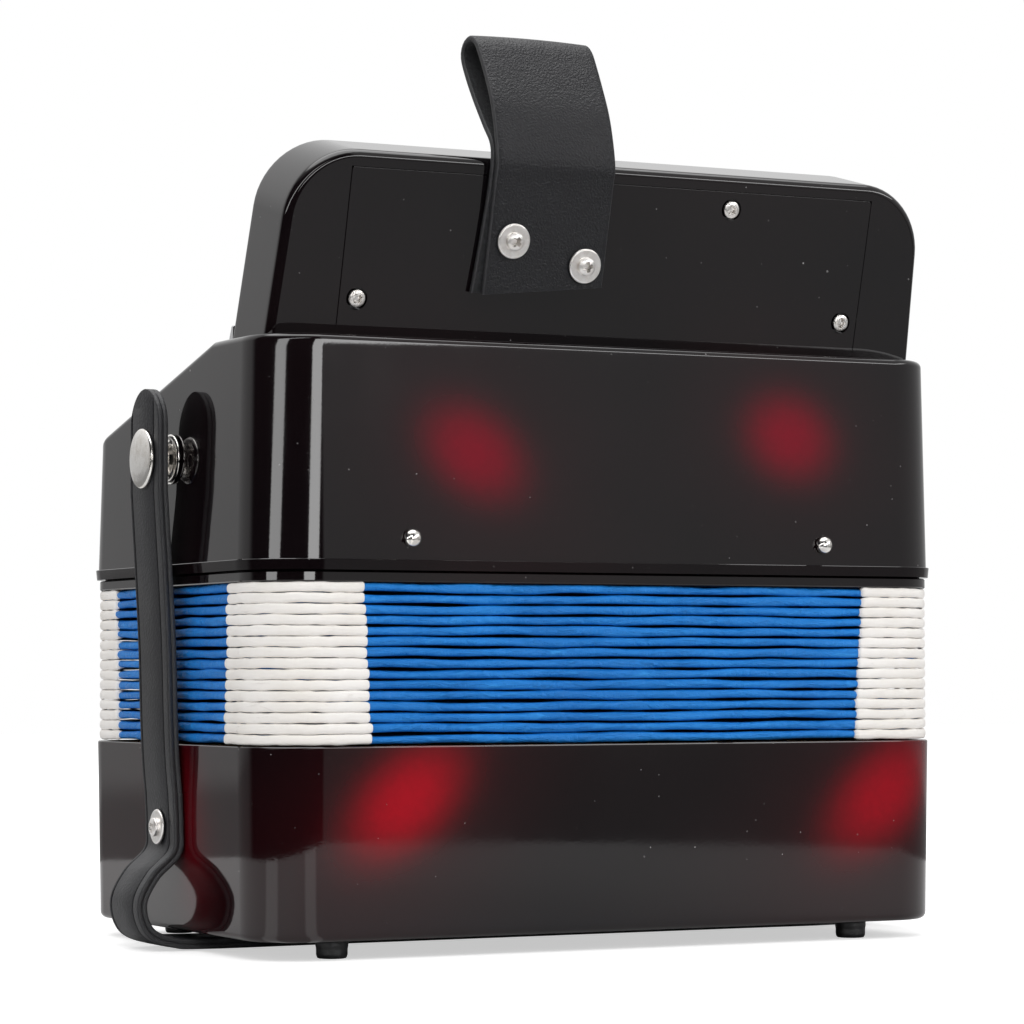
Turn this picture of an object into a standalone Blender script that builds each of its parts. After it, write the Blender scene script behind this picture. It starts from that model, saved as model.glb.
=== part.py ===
"""A small button accordion for a child, standing on its bass end. Metres, +Z up.

+X runs along the wide side, -Y is the player's side with the thumb strap, and +Y is the
front with the grille and the buttons. The origin is on the floor under the middle of the box.
"""

import math

import bmesh
import bpy
from mathutils import Matrix, Vector

# ---- driving dimensions ----
CASE_WIDTH = 0.180
CASE_DEPTH = 0.1153
CORNER_RADIUS = 0.0149
WALL = 0.0022
GAP = 0.0003  # clearance between pieces that touch
CASE_TAPER = 0.0182  # inset per metre of height, away from the bellows

FOOT_HEIGHT = 0.0043
FOOT_RADIUS = 0.0037
FOOT_X, FOOT_Y = 0.0683, 0.046

BASS_HEIGHT = 0.0434
BELLOWS_HEIGHT = 0.0363
TREBLE_HEIGHT = 0.0552
FRAME_STRIP = 0.0023  # the part of the treble bellows frame that shows
LIP_HEIGHT = 0.0024
LIP_PROUD = 0.0006

FOLD_COUNT = 15
FOLD_DEPTH = 0.012
FOLD_INSET = 0.0007

SLOPE_START_Y = -0.0255
SLOPE_ANGLE = math.radians(14.0)
FRONT_ROUND = 0.010

BOARD_LEAN = math.radians(14.5)
BOARD_BACK_Y = -0.0477  # the board's back face where it meets the case top
BOARD_HALF_WIDTH = 0.085
BOARD_TAPER = 0.055
BOARD_HEIGHT = 0.0425
BOARD_THICKNESS = 0.020
BOARD_CORNER = 0.016
BOARD_EDGE = 0.003
COVER_HALF_WIDTH = 0.0685
COVER_TOP = 0.0388
COVER_THICKNESS = 0.0018

KEY_COUNT = 7
KEY_PITCH = 0.019
KEY_BUTTON_RADIUS = 0.0055
KEY_BUTTON_UP = 0.022  # height on the board
KEY_BUTTON_PROUD = 0.0045
KEY_ARM_IN = 0.0095  # depth of the lever behind the board's back face
KEY_AXLE_DOWN = 0.014
KEY_HOLE_MARGIN = 0.0014
KEY_HOLE_UP = 0.0225
PALLET_Y = 0.012
PALLET_SIZE = (0.013, 0.020, 0.0028)
LEVER_WIDTH = 0.003
LEVER_HALF_DEPTH = 0.0014
BUTTON_DOME = 0.0012
AXLE_RADIUS = 0.001
BORE_RADIUS = 0.00135
BORE_HALF_LENGTH = 0.004  # of the cutter, longer than the lever is wide

BASS_KEY_X = {"bass_key_1": -0.018, "bass_key_2": 0.018, "air_key": 0.052}
BASS_BUTTON_Z = 0.0280
BASS_BUTTON_RADIUS = 0.0045
BASS_HOLE_MARGIN = 0.0013
BASS_AXLE = Vector((0, 0.0505, 0.0100))
BASS_PALLET_Y = 0.020
BASS_PALLET_SIZE = (0.011, 0.018, 0.0025)

FRAME_INNER_INSET = 0.0105  # from the case outline to the inside of both bellows frames
BASS_FRAME_HEIGHT = 0.0082
PAN_THICKNESS = 0.0025
AIR_HOLE = (0.007, 0.014)
REED_BLOCK_HALF_DEPTH = 0.011
REED_BLOCK_MARGIN = 0.007  # beyond the middle of the last chamber
REED_BLOCK_ROOF = 0.003
REED_BLOCK_HEIGHT = 0.0137
REED_CHAMBER_HALF = (0.0042, 0.0085)

WINDOW_X, WINDOW_LOW_Y, WINDOW_HIGH_Y = 0.072, -0.0195, 0.0400
KEY_SLOT_X, KEY_SLOT_LOW_Y, KEY_SLOT_HIGH_Y = 0.0625, -0.0440, -0.0315
TOP_CUT_LOW_Z, TOP_CUT_HIGH_Z = 0.110, 0.150  # cutters that go right through the case's top

GRILLE_HALF_WIDTH = 0.0835
GRILLE_CLEAR, GRILLE_SHEET = 0.0004, 0.0009
GRILLE_FRONT_Y = 0.0495
GRILLE_FLANGE = 0.0030
GRILLE_STEPS = 10
SLOT_COUNT, SLOT_PITCH = 12, 0.0112
SLOT_HALF_WIDTH, SLOT_LENGTH = 0.0027, 0.022
SLOT_ROWS_Y = (-0.0035, 0.0250)

STRAP_WIDTH = 0.0186
STRAP_THICKNESS = 0.0024
STRAP_SCREW_Z = 0.0282
STRAP_HINGE_Z = 0.0363
STRAP_TOP_Z = 0.1298
STRAP_TIP_X = 0.0953
STRAP_Y = -0.0022  # the straps lie a little towards the player
STRAP_HOLE_RADIUS = 0.0016
SNAP_Z = 0.1136
CAP_RADIUS, CAP_POST_RADIUS, SOCKET_RADIUS = 0.007, 0.0020, 0.0048

THUMB_STRAP_X = -0.0190
THUMB_STRAP_WIDTH = 0.0305
THUMB_STRAP_THICKNESS = 0.0014
THUMB_STRAP_END_UP = 0.0118  # height of its ends on the board

SHANK_RADIUS = 0.0012
SMALL_HOLE_RADIUS = 0.0014
HEAD_RADIUS, HEAD_HEIGHT = 0.0021, 0.0014
COVER_HEAD_RADIUS, COVER_HEAD_HEIGHT = 0.0020, 0.0012
WASHER_RADIUS, WASHER_THICKNESS = 0.0041, 0.0008
PIN_X, PIN_Z, PIN_HEAD_HEIGHT = 0.054, 0.0938, 0.0022
COVER_SCREWS = ((-0.0640, 0.0090), (0.0640, 0.0090), (0.0300, 0.0345))  # across, up
THUMB_SCREWS = ((-0.0282, 0.0245), (-0.0092, 0.0197))

# ---- heights that follow ----
BASS_Z = FOOT_HEIGHT
BELLOWS_Z = BASS_Z + BASS_HEIGHT
TREBLE_FRAME_Z = BELLOWS_Z + BELLOWS_HEIGHT
TREBLE_Z = TREBLE_FRAME_Z + FRAME_STRIP + GAP
TREBLE_TOP = TREBLE_FRAME_Z + TREBLE_HEIGHT
FOLD_PITCH = BELLOWS_HEIGHT / FOLD_COUNT
BASS_BOARD_Z = 0.0330
TREBLE_BOARD_Z = 0.1040

BOARD_UP = Vector((0, -math.sin(BOARD_LEAN), math.cos(BOARD_LEAN)))
BOARD_IN = Vector((0, math.cos(BOARD_LEAN), math.sin(BOARD_LEAN)))


def on_board(across, up, depth):
    """A point given along the fingerboard's width, up it, and in from its back face."""
    return Vector((across, BOARD_BACK_Y, TREBLE_TOP)) + BOARD_UP * up + BOARD_IN * depth


# ---- materials ----
def principled(name, colour, roughness, metallic=0.0):
    material = bpy.data.materials.new(name)
    material.use_nodes = True
    shader = material.node_tree.nodes["Principled BSDF"]
    shader.inputs["Base Color"].default_value = (*colour, 1)
    shader.inputs["Roughness"].default_value = roughness
    shader.inputs["Metallic"].default_value = metallic
    material.diffuse_color = (*colour, 1)
    return material


def make_materials():
    return {
        "case": principled("gloss_black", (0.020, 0.019, 0.021), 0.08),
        "frame": principled("frame_black", (0.024, 0.024, 0.026), 0.25),
        "wood": principled("pine", (0.56, 0.36, 0.18), 0.6),
        "bellows": principled("blue_cloth", (0.03, 0.17, 0.55), 0.45),
        "leather": principled("black_leather", (0.035, 0.036, 0.040), 0.55),
        "nickel": principled("nickel", (0.75, 0.73, 0.70), 0.18, 1.0),
        "steel": principled("steel_wire", (0.55, 0.55, 0.56), 0.3, 1.0),
        "grille": principled("silver_grille", (0.72, 0.72, 0.73), 0.25, 1.0),
        "button": principled("pearl_button", (0.85, 0.84, 0.80), 0.2),
        "rubber": principled("rubber", (0.02, 0.02, 0.02), 0.7),
    }


# ---- building blocks ----
def new_object(name, mesh_data, material, location=(0, 0, 0)):
    """Makes the object from a bmesh whose points are in world coordinates, with its origin at location."""
    bmesh.ops.recalc_face_normals(mesh_data, faces=mesh_data.faces)
    bmesh.ops.translate(mesh_data, verts=mesh_data.verts, vec=-Vector(location))
    mesh = bpy.data.meshes.new(name)
    mesh_data.to_mesh(mesh)
    mesh_data.free()
    mesh.materials.append(material)
    mesh.shade_smooth()
    mesh.set_sharp_from_angle(angle=math.radians(35))
    thing = bpy.data.objects.new(name, mesh)
    thing.location = location
    bpy.context.scene.collection.objects.link(thing)
    return thing


def loft(rings, caps=True, closed=False, into=None):
    """Skins rings of equal length; the ends are capped, or the last ring joins the first."""
    mesh = into or bmesh.new()
    rows = [[mesh.verts.new(point) for point in ring] for ring in rings]
    count = len(rows[0])
    pairs = list(zip(rows, rows[1:])) + ([(rows[-1], rows[0])] if closed else [])
    for lower, upper in pairs:
        for i in range(count):
            j = (i + 1) % count
            mesh.faces.new((lower[i], lower[j], upper[j], upper[i]))
    if caps and not closed:
        mesh.faces.new(reversed(rows[0]))
        mesh.faces.new(rows[-1])
    return mesh


def side_outline(width, depth, radius, steps=7, breaks=()):
    """The +X half of a rounded rectangle, from the back edge round to the front edge."""
    centre_x, centre_y = width / 2 - radius, depth / 2 - radius
    points = []
    for i in range(steps + 1):
        angle = -math.pi / 2 + math.pi / 2 * i / steps
        points.append((centre_x + radius * math.cos(angle), -centre_y + radius * math.sin(angle)))
    points += [(width / 2, y) for y in breaks]
    for i in range(steps + 1):
        angle = math.pi / 2 * i / steps
        points.append((centre_x + radius * math.cos(angle), centre_y + radius * math.sin(angle)))
    return points


def box_outline(inset, steps=7, breaks=()):
    """The whole rounded rectangle of the case, drawn in by inset, as (x, y) anticlockwise."""
    right = side_outline(
        CASE_WIDTH - 2 * inset,
        CASE_DEPTH - 2 * inset,
        max(CORNER_RADIUS - inset, 0.001),
        steps,
        breaks,
    )
    return right + [(-x, y) for x, y in reversed(right)]


def ring_at(inset, z, steps=7):
    return [Vector((x, y, z)) for x, y in box_outline(inset, steps)]


def block(low, high):
    """An upright box between two corners."""
    (x0, y0, z0), (x1, y1, z1) = low, high
    corners = ((x0, y0), (x1, y0), (x1, y1), (x0, y1))
    return loft([[Vector((x, y, z)) for x, y in corners] for z in (z0, z1)])


def flat_block(middle_x, middle_y, size, z_low):
    """An upright box given by its middle, its size and its lowest height."""
    half_x, half_y = size[0] / 2, size[1] / 2
    low = (middle_x - half_x, middle_y - half_y, z_low)
    return block(low, (middle_x + half_x, middle_y + half_y, z_low + size[2]))


def turned(profile, steps, centre, axis):
    """Spins (radius, height) points about an axis; both ends of the profile lie on it."""
    mesh = bmesh.new()
    points = [mesh.verts.new((radius, 0, height)) for radius, height in profile]
    edges = [mesh.edges.new(pair) for pair in zip(points, points[1:])]
    bmesh.ops.spin(mesh, geom=points + edges, cent=(0, 0, 0), axis=(0, 0, 1), angle=math.tau, steps=steps)
    bmesh.ops.remove_doubles(mesh, verts=mesh.verts, dist=1e-6)
    bmesh.ops.dissolve_degenerate(mesh, dist=1e-6, edges=mesh.edges)
    turn = Vector(axis).to_track_quat("Z", "Y").to_matrix().to_4x4()
    bmesh.ops.transform(mesh, matrix=Matrix.Translation(centre) @ turn, verts=mesh.verts)
    return mesh


def rod(radius, start, end, steps=12):
    start, end = Vector(start), Vector(end)
    length = (end - start).length
    return turned([(0, 0), (radius, 0), (radius, length), (0, length)], steps, start, end - start)


def button_mesh(radius, length, base, axis):
    """A round button with a slightly domed end."""
    profile = [
        (0, 0),
        (radius, 0),
        (radius, length - BUTTON_DOME),
        (radius * 0.6, length - BUTTON_DOME * 0.2),
        (0, length),
    ]
    return turned(profile, 16, base, axis)


def slab(outline, x_low, x_high):
    """A plate across X from a (y, z) outline."""
    return loft([[Vector((x, y, z)) for y, z in outline] for x in (x_low, x_high)])


def smooth_path(points, per_span=3):
    """Catmull-Rom points through the given points."""
    ends = [points[0] * 2 - points[1]] + points + [points[-1] * 2 - points[-2]]
    path = []
    for a, b, c, d in zip(ends, ends[1:], ends[2:], ends[3:]):
        for i in range(per_span):
            t = i / per_span
            cubic = (a * 2 - b * 5 + c * 4 - d) * t**2 + (b * 3 - a - c * 3 + d) * t**3
            path.append((b * 2 + (c - a) * t + cubic) / 2)
    return path + [points[-1]]


def ribbon(path, across, half_widths, thickness):
    """A strap: a flat section swept along a path, with across as its width direction."""
    rings = []
    for i, point in enumerate(path):
        along = path[min(i + 1, len(path) - 1)] - path[max(i - 1, 0)]
        face = along.cross(across).normalized() * thickness / 2
        side = across * half_widths[i]
        rings.append([point - side - face, point + side - face, point + side + face, point - side + face])
    return loft(rings)


def cut(target, cutters, operation="DIFFERENCE"):
    """Applies one Boolean for each cutter mesh, and removes the cutters."""
    for i, cutter_mesh in enumerate(cutters):
        cutter = new_object(f"cutter_{target.name}_{i}", cutter_mesh, target.data.materials[0])
        cutter.hide_render = True
        cutter.display_type = "WIRE"
        modifier = target.modifiers.new(f"cut_{i}", "BOOLEAN")
        modifier.operation = operation
        modifier.solver = "EXACT"
        modifier.object = cutter


def join_all(target, meshes):
    cut(target, meshes, "UNION")


def settle(thing):
    """Replaces the object's mesh with its evaluated one, so that copies can share it."""
    bpy.context.view_layer.update()
    graph = bpy.context.evaluated_depsgraph_get()
    mesh = bpy.data.meshes.new_from_object(thing.evaluated_get(graph))
    cutters = [modifier.object for modifier in thing.modifiers]
    thing.modifiers.clear()
    thing.data = mesh
    for cutter in cutters:
        bpy.data.objects.remove(cutter)
    return thing


def copy_at(source, name, location):
    twin = bpy.data.objects.new(name, source.data)
    twin.location = location
    bpy.context.scene.collection.objects.link(twin)
    return twin


# ---- bass end ----
def case_side_x(z):
    """Half the case's outer width at a height."""
    if z < BELLOWS_Z:
        return CASE_WIDTH / 2 - CASE_TAPER * (BELLOWS_Z - z)
    return CASE_WIDTH / 2 - CASE_TAPER * (z - TREBLE_FRAME_Z)


def bass_inset(z):
    return CASE_TAPER * (BELLOWS_Z - z)


def make_bass_case(material):
    floor_z = BASS_Z + WALL
    top = BELLOWS_Z - GAP
    edge = 0.0016
    rings = [
        ring_at(bass_inset(BASS_Z) + edge, BASS_Z),
        ring_at(bass_inset(BASS_Z) + 0.3 * edge, BASS_Z + 0.3 * edge),
        ring_at(bass_inset(BASS_Z + edge), BASS_Z + edge),
        ring_at(bass_inset(top - LIP_HEIGHT / 2), top - LIP_HEIGHT / 2),
        ring_at(-LIP_PROUD / 3, top - LIP_HEIGHT / 2 + 0.0002),
        ring_at(-LIP_PROUD / 3, top),
        ring_at(WALL, top),
        ring_at(bass_inset(floor_z) + WALL, floor_z),
    ]
    case = new_object("bass_case", loft(rings), material)
    wall_y, wall_x = CASE_DEPTH / 2, CASE_WIDTH / 2
    through = 0.010
    radius = BASS_BUTTON_RADIUS + BASS_HOLE_MARGIN
    holes = [
        rod(radius, (x, wall_y - through, BASS_BUTTON_Z), (x, wall_y + through, BASS_BUTTON_Z), 16)
        for x in BASS_KEY_X.values()
    ]
    holes += [
        rod(
            STRAP_HOLE_RADIUS,
            (side * (wall_x - through), STRAP_Y, STRAP_SCREW_Z),
            (side * (wall_x + through), STRAP_Y, STRAP_SCREW_Z),
        )
        for side in (-1, 1)
    ]
    cut(case, holes)


def make_feet(material):
    profile = [(0, 0), (FOOT_RADIUS - 0.0006, 0), (FOOT_RADIUS, 0.0006), (FOOT_RADIUS, FOOT_HEIGHT - GAP)]
    profile.append((0, FOOT_HEIGHT - GAP))
    for index, (side_x, side_y) in enumerate(((-1, -1), (1, -1), (1, 1), (-1, 1)), 1):
        centre = (side_x * FOOT_X, side_y * FOOT_Y, 0)
        new_object(f"foot_{index}", turned(profile, 16, centre, (0, 0, 1)), material, centre)


def make_ring(name, material, z_low, z_high, outer_inset, inner_inset, round_by=0.0, steps=4):
    """A rounded rectangular frame; round_by draws its outer edges in."""
    middle = (z_low + z_high) / 2
    rings = [
        ring_at(outer_inset + round_by, z_low, steps),
        ring_at(outer_inset, middle, steps),
        ring_at(outer_inset + round_by, z_high, steps),
        ring_at(inner_inset, z_high, steps),
        ring_at(inner_inset, z_low, steps),
    ]
    if not round_by:
        rings.pop(1)
    return new_object(name, loft(rings, closed=True), material)


def make_pan(name, material, z_low, inset, holes):
    """A board across the inside of a case, with an air hole under each pallet."""
    rings = [ring_at(inset, z_low, 4), ring_at(inset, z_low + PAN_THICKNESS, 4)]
    board = new_object(name, loft(rings), material)
    reach = 0.002
    size = (*AIR_HOLE, PAN_THICKNESS + 2 * reach)
    cut(board, [flat_block(x, y, size, z_low - reach) for x, y in holes])


def make_reed_block(name, material, z_low, z_high, centre_y, xs, opens_up):
    """A wooden block with one chamber for each key, open on the reed side."""
    half, margin = REED_BLOCK_HALF_DEPTH, REED_BLOCK_MARGIN
    low = (min(xs) - margin, centre_y - half, z_low)
    wood = new_object(name, block(low, (max(xs) + margin, centre_y + half, z_high)), material)
    shift = REED_BLOCK_ROOF if opens_up else -REED_BLOCK_ROOF
    half_x, half_y = REED_CHAMBER_HALF
    size = (2 * half_x, 2 * half_y, z_high - z_low)
    cut(wood, [flat_block(x, centre_y, size, z_low + shift) for x in xs])


def make_bass_keys(materials, button_reach):
    """Levers on one axle: a pushed button swings the pallet down from the board."""
    pallet_top = BASS_BOARD_Z - GAP
    arm = [
        (BASS_AXLE.y - 0.003, BASS_AXLE.z - 0.003),
        (BASS_AXLE.y + 0.003, BASS_AXLE.z - 0.003),
        (BASS_AXLE.y + 0.0025, BASS_BUTTON_Z + 0.002),
        (BASS_AXLE.y - 0.0005, BASS_BUTTON_Z + 0.002),
        (BASS_AXLE.y - 0.002, BASS_AXLE.z + 0.005),
        (BASS_PALLET_Y + 0.002, pallet_top - 0.002),
        (BASS_PALLET_Y - 0.002, pallet_top - 0.002),
        (BASS_PALLET_Y - 0.002, pallet_top - 0.005),
    ]
    pallet = flat_block(0, BASS_PALLET_Y, BASS_PALLET_SIZE, pallet_top - BASS_PALLET_SIZE[2])
    length = button_reach - BASS_AXLE.y
    button = button_mesh(BASS_BUTTON_RADIUS, length, (0, BASS_AXLE.y, BASS_BUTTON_Z), (0, 1, 0))
    first_name, *other_names = BASS_KEY_X
    lever = slab(arm, -LEVER_WIDTH / 2, LEVER_WIDTH / 2)
    key = new_object(first_name, lever, materials["button"], BASS_AXLE)
    join_all(key, [pallet, button])
    bore_reach = Vector((BORE_HALF_LENGTH, 0, 0))
    cut(key, [rod(BORE_RADIUS, BASS_AXLE - bore_reach, BASS_AXLE + bore_reach)])
    settle(key)
    key.location.x = BASS_KEY_X[first_name]
    for name in other_names:
        copy_at(key, name, (BASS_KEY_X[name], BASS_AXLE.y, BASS_AXLE.z))
    reach = case_side_x(BASS_AXLE.z) - WALL - GAP - 0.006
    new_object(
        "bass_key_axle",
        rod(AXLE_RADIUS, (-reach, BASS_AXLE.y, BASS_AXLE.z), (reach, BASS_AXLE.y, BASS_AXLE.z)),
        materials["steel"],
    )


# ---- bellows ----
def make_folds(material):
    for index in range(FOLD_COUNT):
        z_low = BELLOWS_Z + index * FOLD_PITCH + GAP / 2
        make_ring(
            f"fold_{index + 1:02d}",
            material,
            z_low,
            z_low + FOLD_PITCH - GAP,
            FOLD_INSET,
            FOLD_INSET + FOLD_DEPTH,
            round_by=0.0006,
        )


# ---- treble end ----
def top_profile(y, drop=0.0):
    """Height of the treble case's top at y: flat, then sloping, then rounded into the front wall."""
    if y <= SLOPE_START_Y:
        return TREBLE_TOP - drop
    lowest = CASE_DEPTH / 2 - FRONT_ROUND
    tangent = lowest + FRONT_ROUND * math.sin(SLOPE_ANGLE)
    if y <= tangent:
        return TREBLE_TOP - (y - SLOPE_START_Y) * math.tan(SLOPE_ANGLE) - drop
    at_tangent = TREBLE_TOP - (tangent - SLOPE_START_Y) * math.tan(SLOPE_ANGLE)
    centre = at_tangent - FRONT_ROUND * math.cos(SLOPE_ANGLE)
    return centre + math.sqrt(max(FRONT_ROUND**2 - (y - lowest) ** 2, 0)) - drop


def sloped_ring(inset, drop, breaks):
    """A ring that follows the case's sloping top, with inset and drop from its outer surface."""
    return [Vector((x, y, top_profile(y, drop))) for x, y in box_outline(inset, 7, breaks)]


def ladder(mesh, row, flip):
    """Closes a ring whose two halves mirror each other with strips across it."""
    half = len(row) // 2
    for i in range(half - 1):
        strip = (row[i], row[i + 1], row[-2 - i], row[-1 - i])
        mesh.faces.new(tuple(reversed(strip)) if flip else strip)


def make_treble_case(material):
    breaks = (SLOPE_START_Y, -0.010, 0.010, 0.030)
    top_inset = CASE_TAPER * (TREBLE_TOP - TREBLE_FRAME_Z)
    lip_inset = CASE_TAPER * (TREBLE_Z - TREBLE_FRAME_Z)
    edge = 0.0015

    def level(inset, z):
        return [Vector((x, y, z)) for x, y in box_outline(inset, 7, breaks)]

    rings = [
        level(lip_inset + WALL, TREBLE_Z),
        level(-LIP_PROUD, TREBLE_Z),
        level(-LIP_PROUD, TREBLE_Z + LIP_HEIGHT),
        level(lip_inset, TREBLE_Z + LIP_HEIGHT + 0.0003),
        sloped_ring(top_inset, edge, breaks),
        sloped_ring(top_inset + 0.3 * edge, 0.3 * edge, breaks),
        sloped_ring(top_inset + edge, 0, breaks),
    ]
    mesh = bmesh.new()
    rows = [[mesh.verts.new(point) for point in ring] for ring in rings]
    inner = [mesh.verts.new(point) for point in sloped_ring(top_inset + WALL, WALL, breaks)]
    count = len(rows[0])
    for lower, upper in list(zip(rows, rows[1:])) + [(inner, rows[0])]:
        for i in range(count):
            j = (i + 1) % count
            mesh.faces.new((lower[i], lower[j], upper[j], upper[i]))
    ladder(mesh, rows[-1], False)
    ladder(mesh, inner, True)
    case = new_object("treble_case", mesh, material)
    window = block(
        (-WINDOW_X, WINDOW_LOW_Y, TOP_CUT_LOW_Z), (WINDOW_X, WINDOW_HIGH_Y, TOP_CUT_HIGH_Z)
    )
    slot = block(
        (-KEY_SLOT_X, KEY_SLOT_LOW_Y, TREBLE_TOP - 0.009), (KEY_SLOT_X, KEY_SLOT_HIGH_Y, TOP_CUT_HIGH_Z)
    )
    wall_x, wall_y, through = CASE_WIDTH / 2, CASE_DEPTH / 2, 0.008
    holes = []
    for side in (-1, 1):
        low, high = side * (wall_x - through), side * (wall_x + through)
        holes.append(rod(STRAP_HOLE_RADIUS, (low, STRAP_Y, SNAP_Z), (high, STRAP_Y, SNAP_Z)))
        low, high = -wall_y - through, -wall_y + through
        holes.append(rod(SMALL_HOLE_RADIUS, (side * PIN_X, low, PIN_Z), (side * PIN_X, high, PIN_Z)))
    cut(case, [window, slot] + holes)


def slot_row(middle_y):
    """Cutters for one row of sound slots with round ends."""
    mesh = None
    end_y = SLOT_LENGTH / 2 - SLOT_HALF_WIDTH
    for i in range(SLOT_COUNT):
        x = (i - (SLOT_COUNT - 1) / 2) * SLOT_PITCH
        outline = []
        for end, start in ((1, 0), (-1, math.pi)):
            for j in range(5):
                angle = start + math.pi * j / 4
                across = x + SLOT_HALF_WIDTH * math.cos(angle)
                outline.append((across, middle_y + end * end_y + SLOT_HALF_WIDTH * math.sin(angle)))
        rings = [[Vector((px, py, z)) for px, py in outline] for z in (TOP_CUT_LOW_Z, TOP_CUT_HIGH_Z)]
        mesh = loft(rings, into=mesh)
    return mesh


def make_grille(material):
    """A pressed sheet over the slope, standing clear of it, with a turned-up back edge."""
    back_y, front_y = SLOPE_START_Y + 0.0012, GRILLE_FRONT_Y
    ys = [back_y + (front_y - back_y) * i / GRILLE_STEPS for i in range(GRILLE_STEPS + 1)]
    under = [(y, top_profile(y) + GRILLE_CLEAR) for y in ys]
    over = [(y, top_profile(y) + GRILLE_CLEAR + GRILLE_SHEET) for y in ys]
    flange_top = over[0][1] + GRILLE_FLANGE
    flange = [(back_y + 0.0007, flange_top + 0.0002), (back_y - 0.0002, flange_top)]
    outline = under + over[:0:-1] + flange
    grille = new_object("grille", slab(outline, -GRILLE_HALF_WIDTH, GRILLE_HALF_WIDTH), material)
    cut(grille, [slot_row(row_y) for row_y in SLOT_ROWS_Y])


def board_section(inset, depth, steps=6):
    """The fingerboard's outline seen from the player, drawn in by inset, at a depth in from its back."""
    low = -0.008
    half_top = BOARD_HALF_WIDTH - BOARD_TAPER * BOARD_HEIGHT - inset
    half_low = BOARD_HALF_WIDTH - BOARD_TAPER * low - inset
    height = BOARD_HEIGHT - inset
    radius = BOARD_CORNER - inset
    right = [(half_low, low)]
    for i in range(steps + 1):
        angle = math.pi / 2 * i / steps
        lean = BOARD_TAPER * (radius - radius * math.sin(angle))
        across = half_top - radius + radius * math.cos(angle) + lean
        right.append((across, height - radius + radius * math.sin(angle)))
    outline = right + [(-x, up) for x, up in reversed(right)]
    return [on_board(x, up, depth) for x, up in outline]


def board_block(x_low, x_high, up_low, up_high, in_low, in_high):
    """A box square to the fingerboard."""
    corners = ((x_low, up_low), (x_high, up_low), (x_high, up_high), (x_low, up_high))
    return loft([[on_board(x, up, depth) for x, up in corners] for depth in (in_low, in_high)])


def key_xs():
    return [(i - (KEY_COUNT - 1) / 2) * KEY_PITCH for i in range(KEY_COUNT)]


def below_board():
    """Everything under the case's top surface, to cut a flat foot on the board and its plate."""
    return block((-0.12, -0.10, TREBLE_TOP - 0.03), (0.12, 0.05, TREBLE_TOP + GAP))


def make_fingerboard(material):
    edge = BOARD_EDGE
    rings = [
        board_section(edge, 0),
        board_section(0.3 * edge, 0.3 * edge),
        board_section(0, edge),
        board_section(0, BOARD_THICKNESS - edge),
        board_section(0.3 * edge, BOARD_THICKNESS - 0.3 * edge),
        board_section(edge, BOARD_THICKNESS),
    ]
    shell = new_object("fingerboard", loft(rings), material)
    ledge = 0.003
    recess = board_block(
        -COVER_HALF_WIDTH, COVER_HALF_WIDTH, -0.03, COVER_TOP, -0.01, COVER_THICKNESS + GAP
    )
    hollow_half = COVER_HALF_WIDTH - ledge
    hollow = board_block(
        -hollow_half, hollow_half, -0.03, COVER_TOP - ledge, COVER_THICKNESS, BOARD_THICKNESS - WALL
    )
    through = 0.006
    holes = [
        rod(
            KEY_BUTTON_RADIUS + KEY_HOLE_MARGIN,
            on_board(x, KEY_HOLE_UP, BOARD_THICKNESS - through),
            on_board(x, KEY_HOLE_UP, BOARD_THICKNESS + through),
            16,
        )
        for x in key_xs()
    ]
    cut(shell, [recess, hollow, below_board()] + holes)


def make_cover(material):
    """The plate let into the board's back; its lower edge is cut off along the case's top."""
    radius = 0.002
    half, high = COVER_HALF_WIDTH - GAP, COVER_TOP - GAP
    outline = [(half, 0.0)]
    for i in range(4):
        angle = math.pi / 2 * i / 3
        outline.append((half - radius + radius * math.cos(angle), high - radius + radius * math.sin(angle)))
    outline += [(-x, up) for x, up in reversed(outline)]
    rings = [[on_board(x, up, depth) for x, up in outline] for depth in (0, COVER_THICKNESS)]
    plate = new_object("fingerboard_cover", loft(rings), material)
    holes = [
        rod(SMALL_HOLE_RADIUS, on_board(x, up, -0.004), on_board(x, up, 0.008))
        for x, up in COVER_SCREWS + THUMB_SCREWS
    ]
    cut(plate, [below_board()] + holes)


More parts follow.
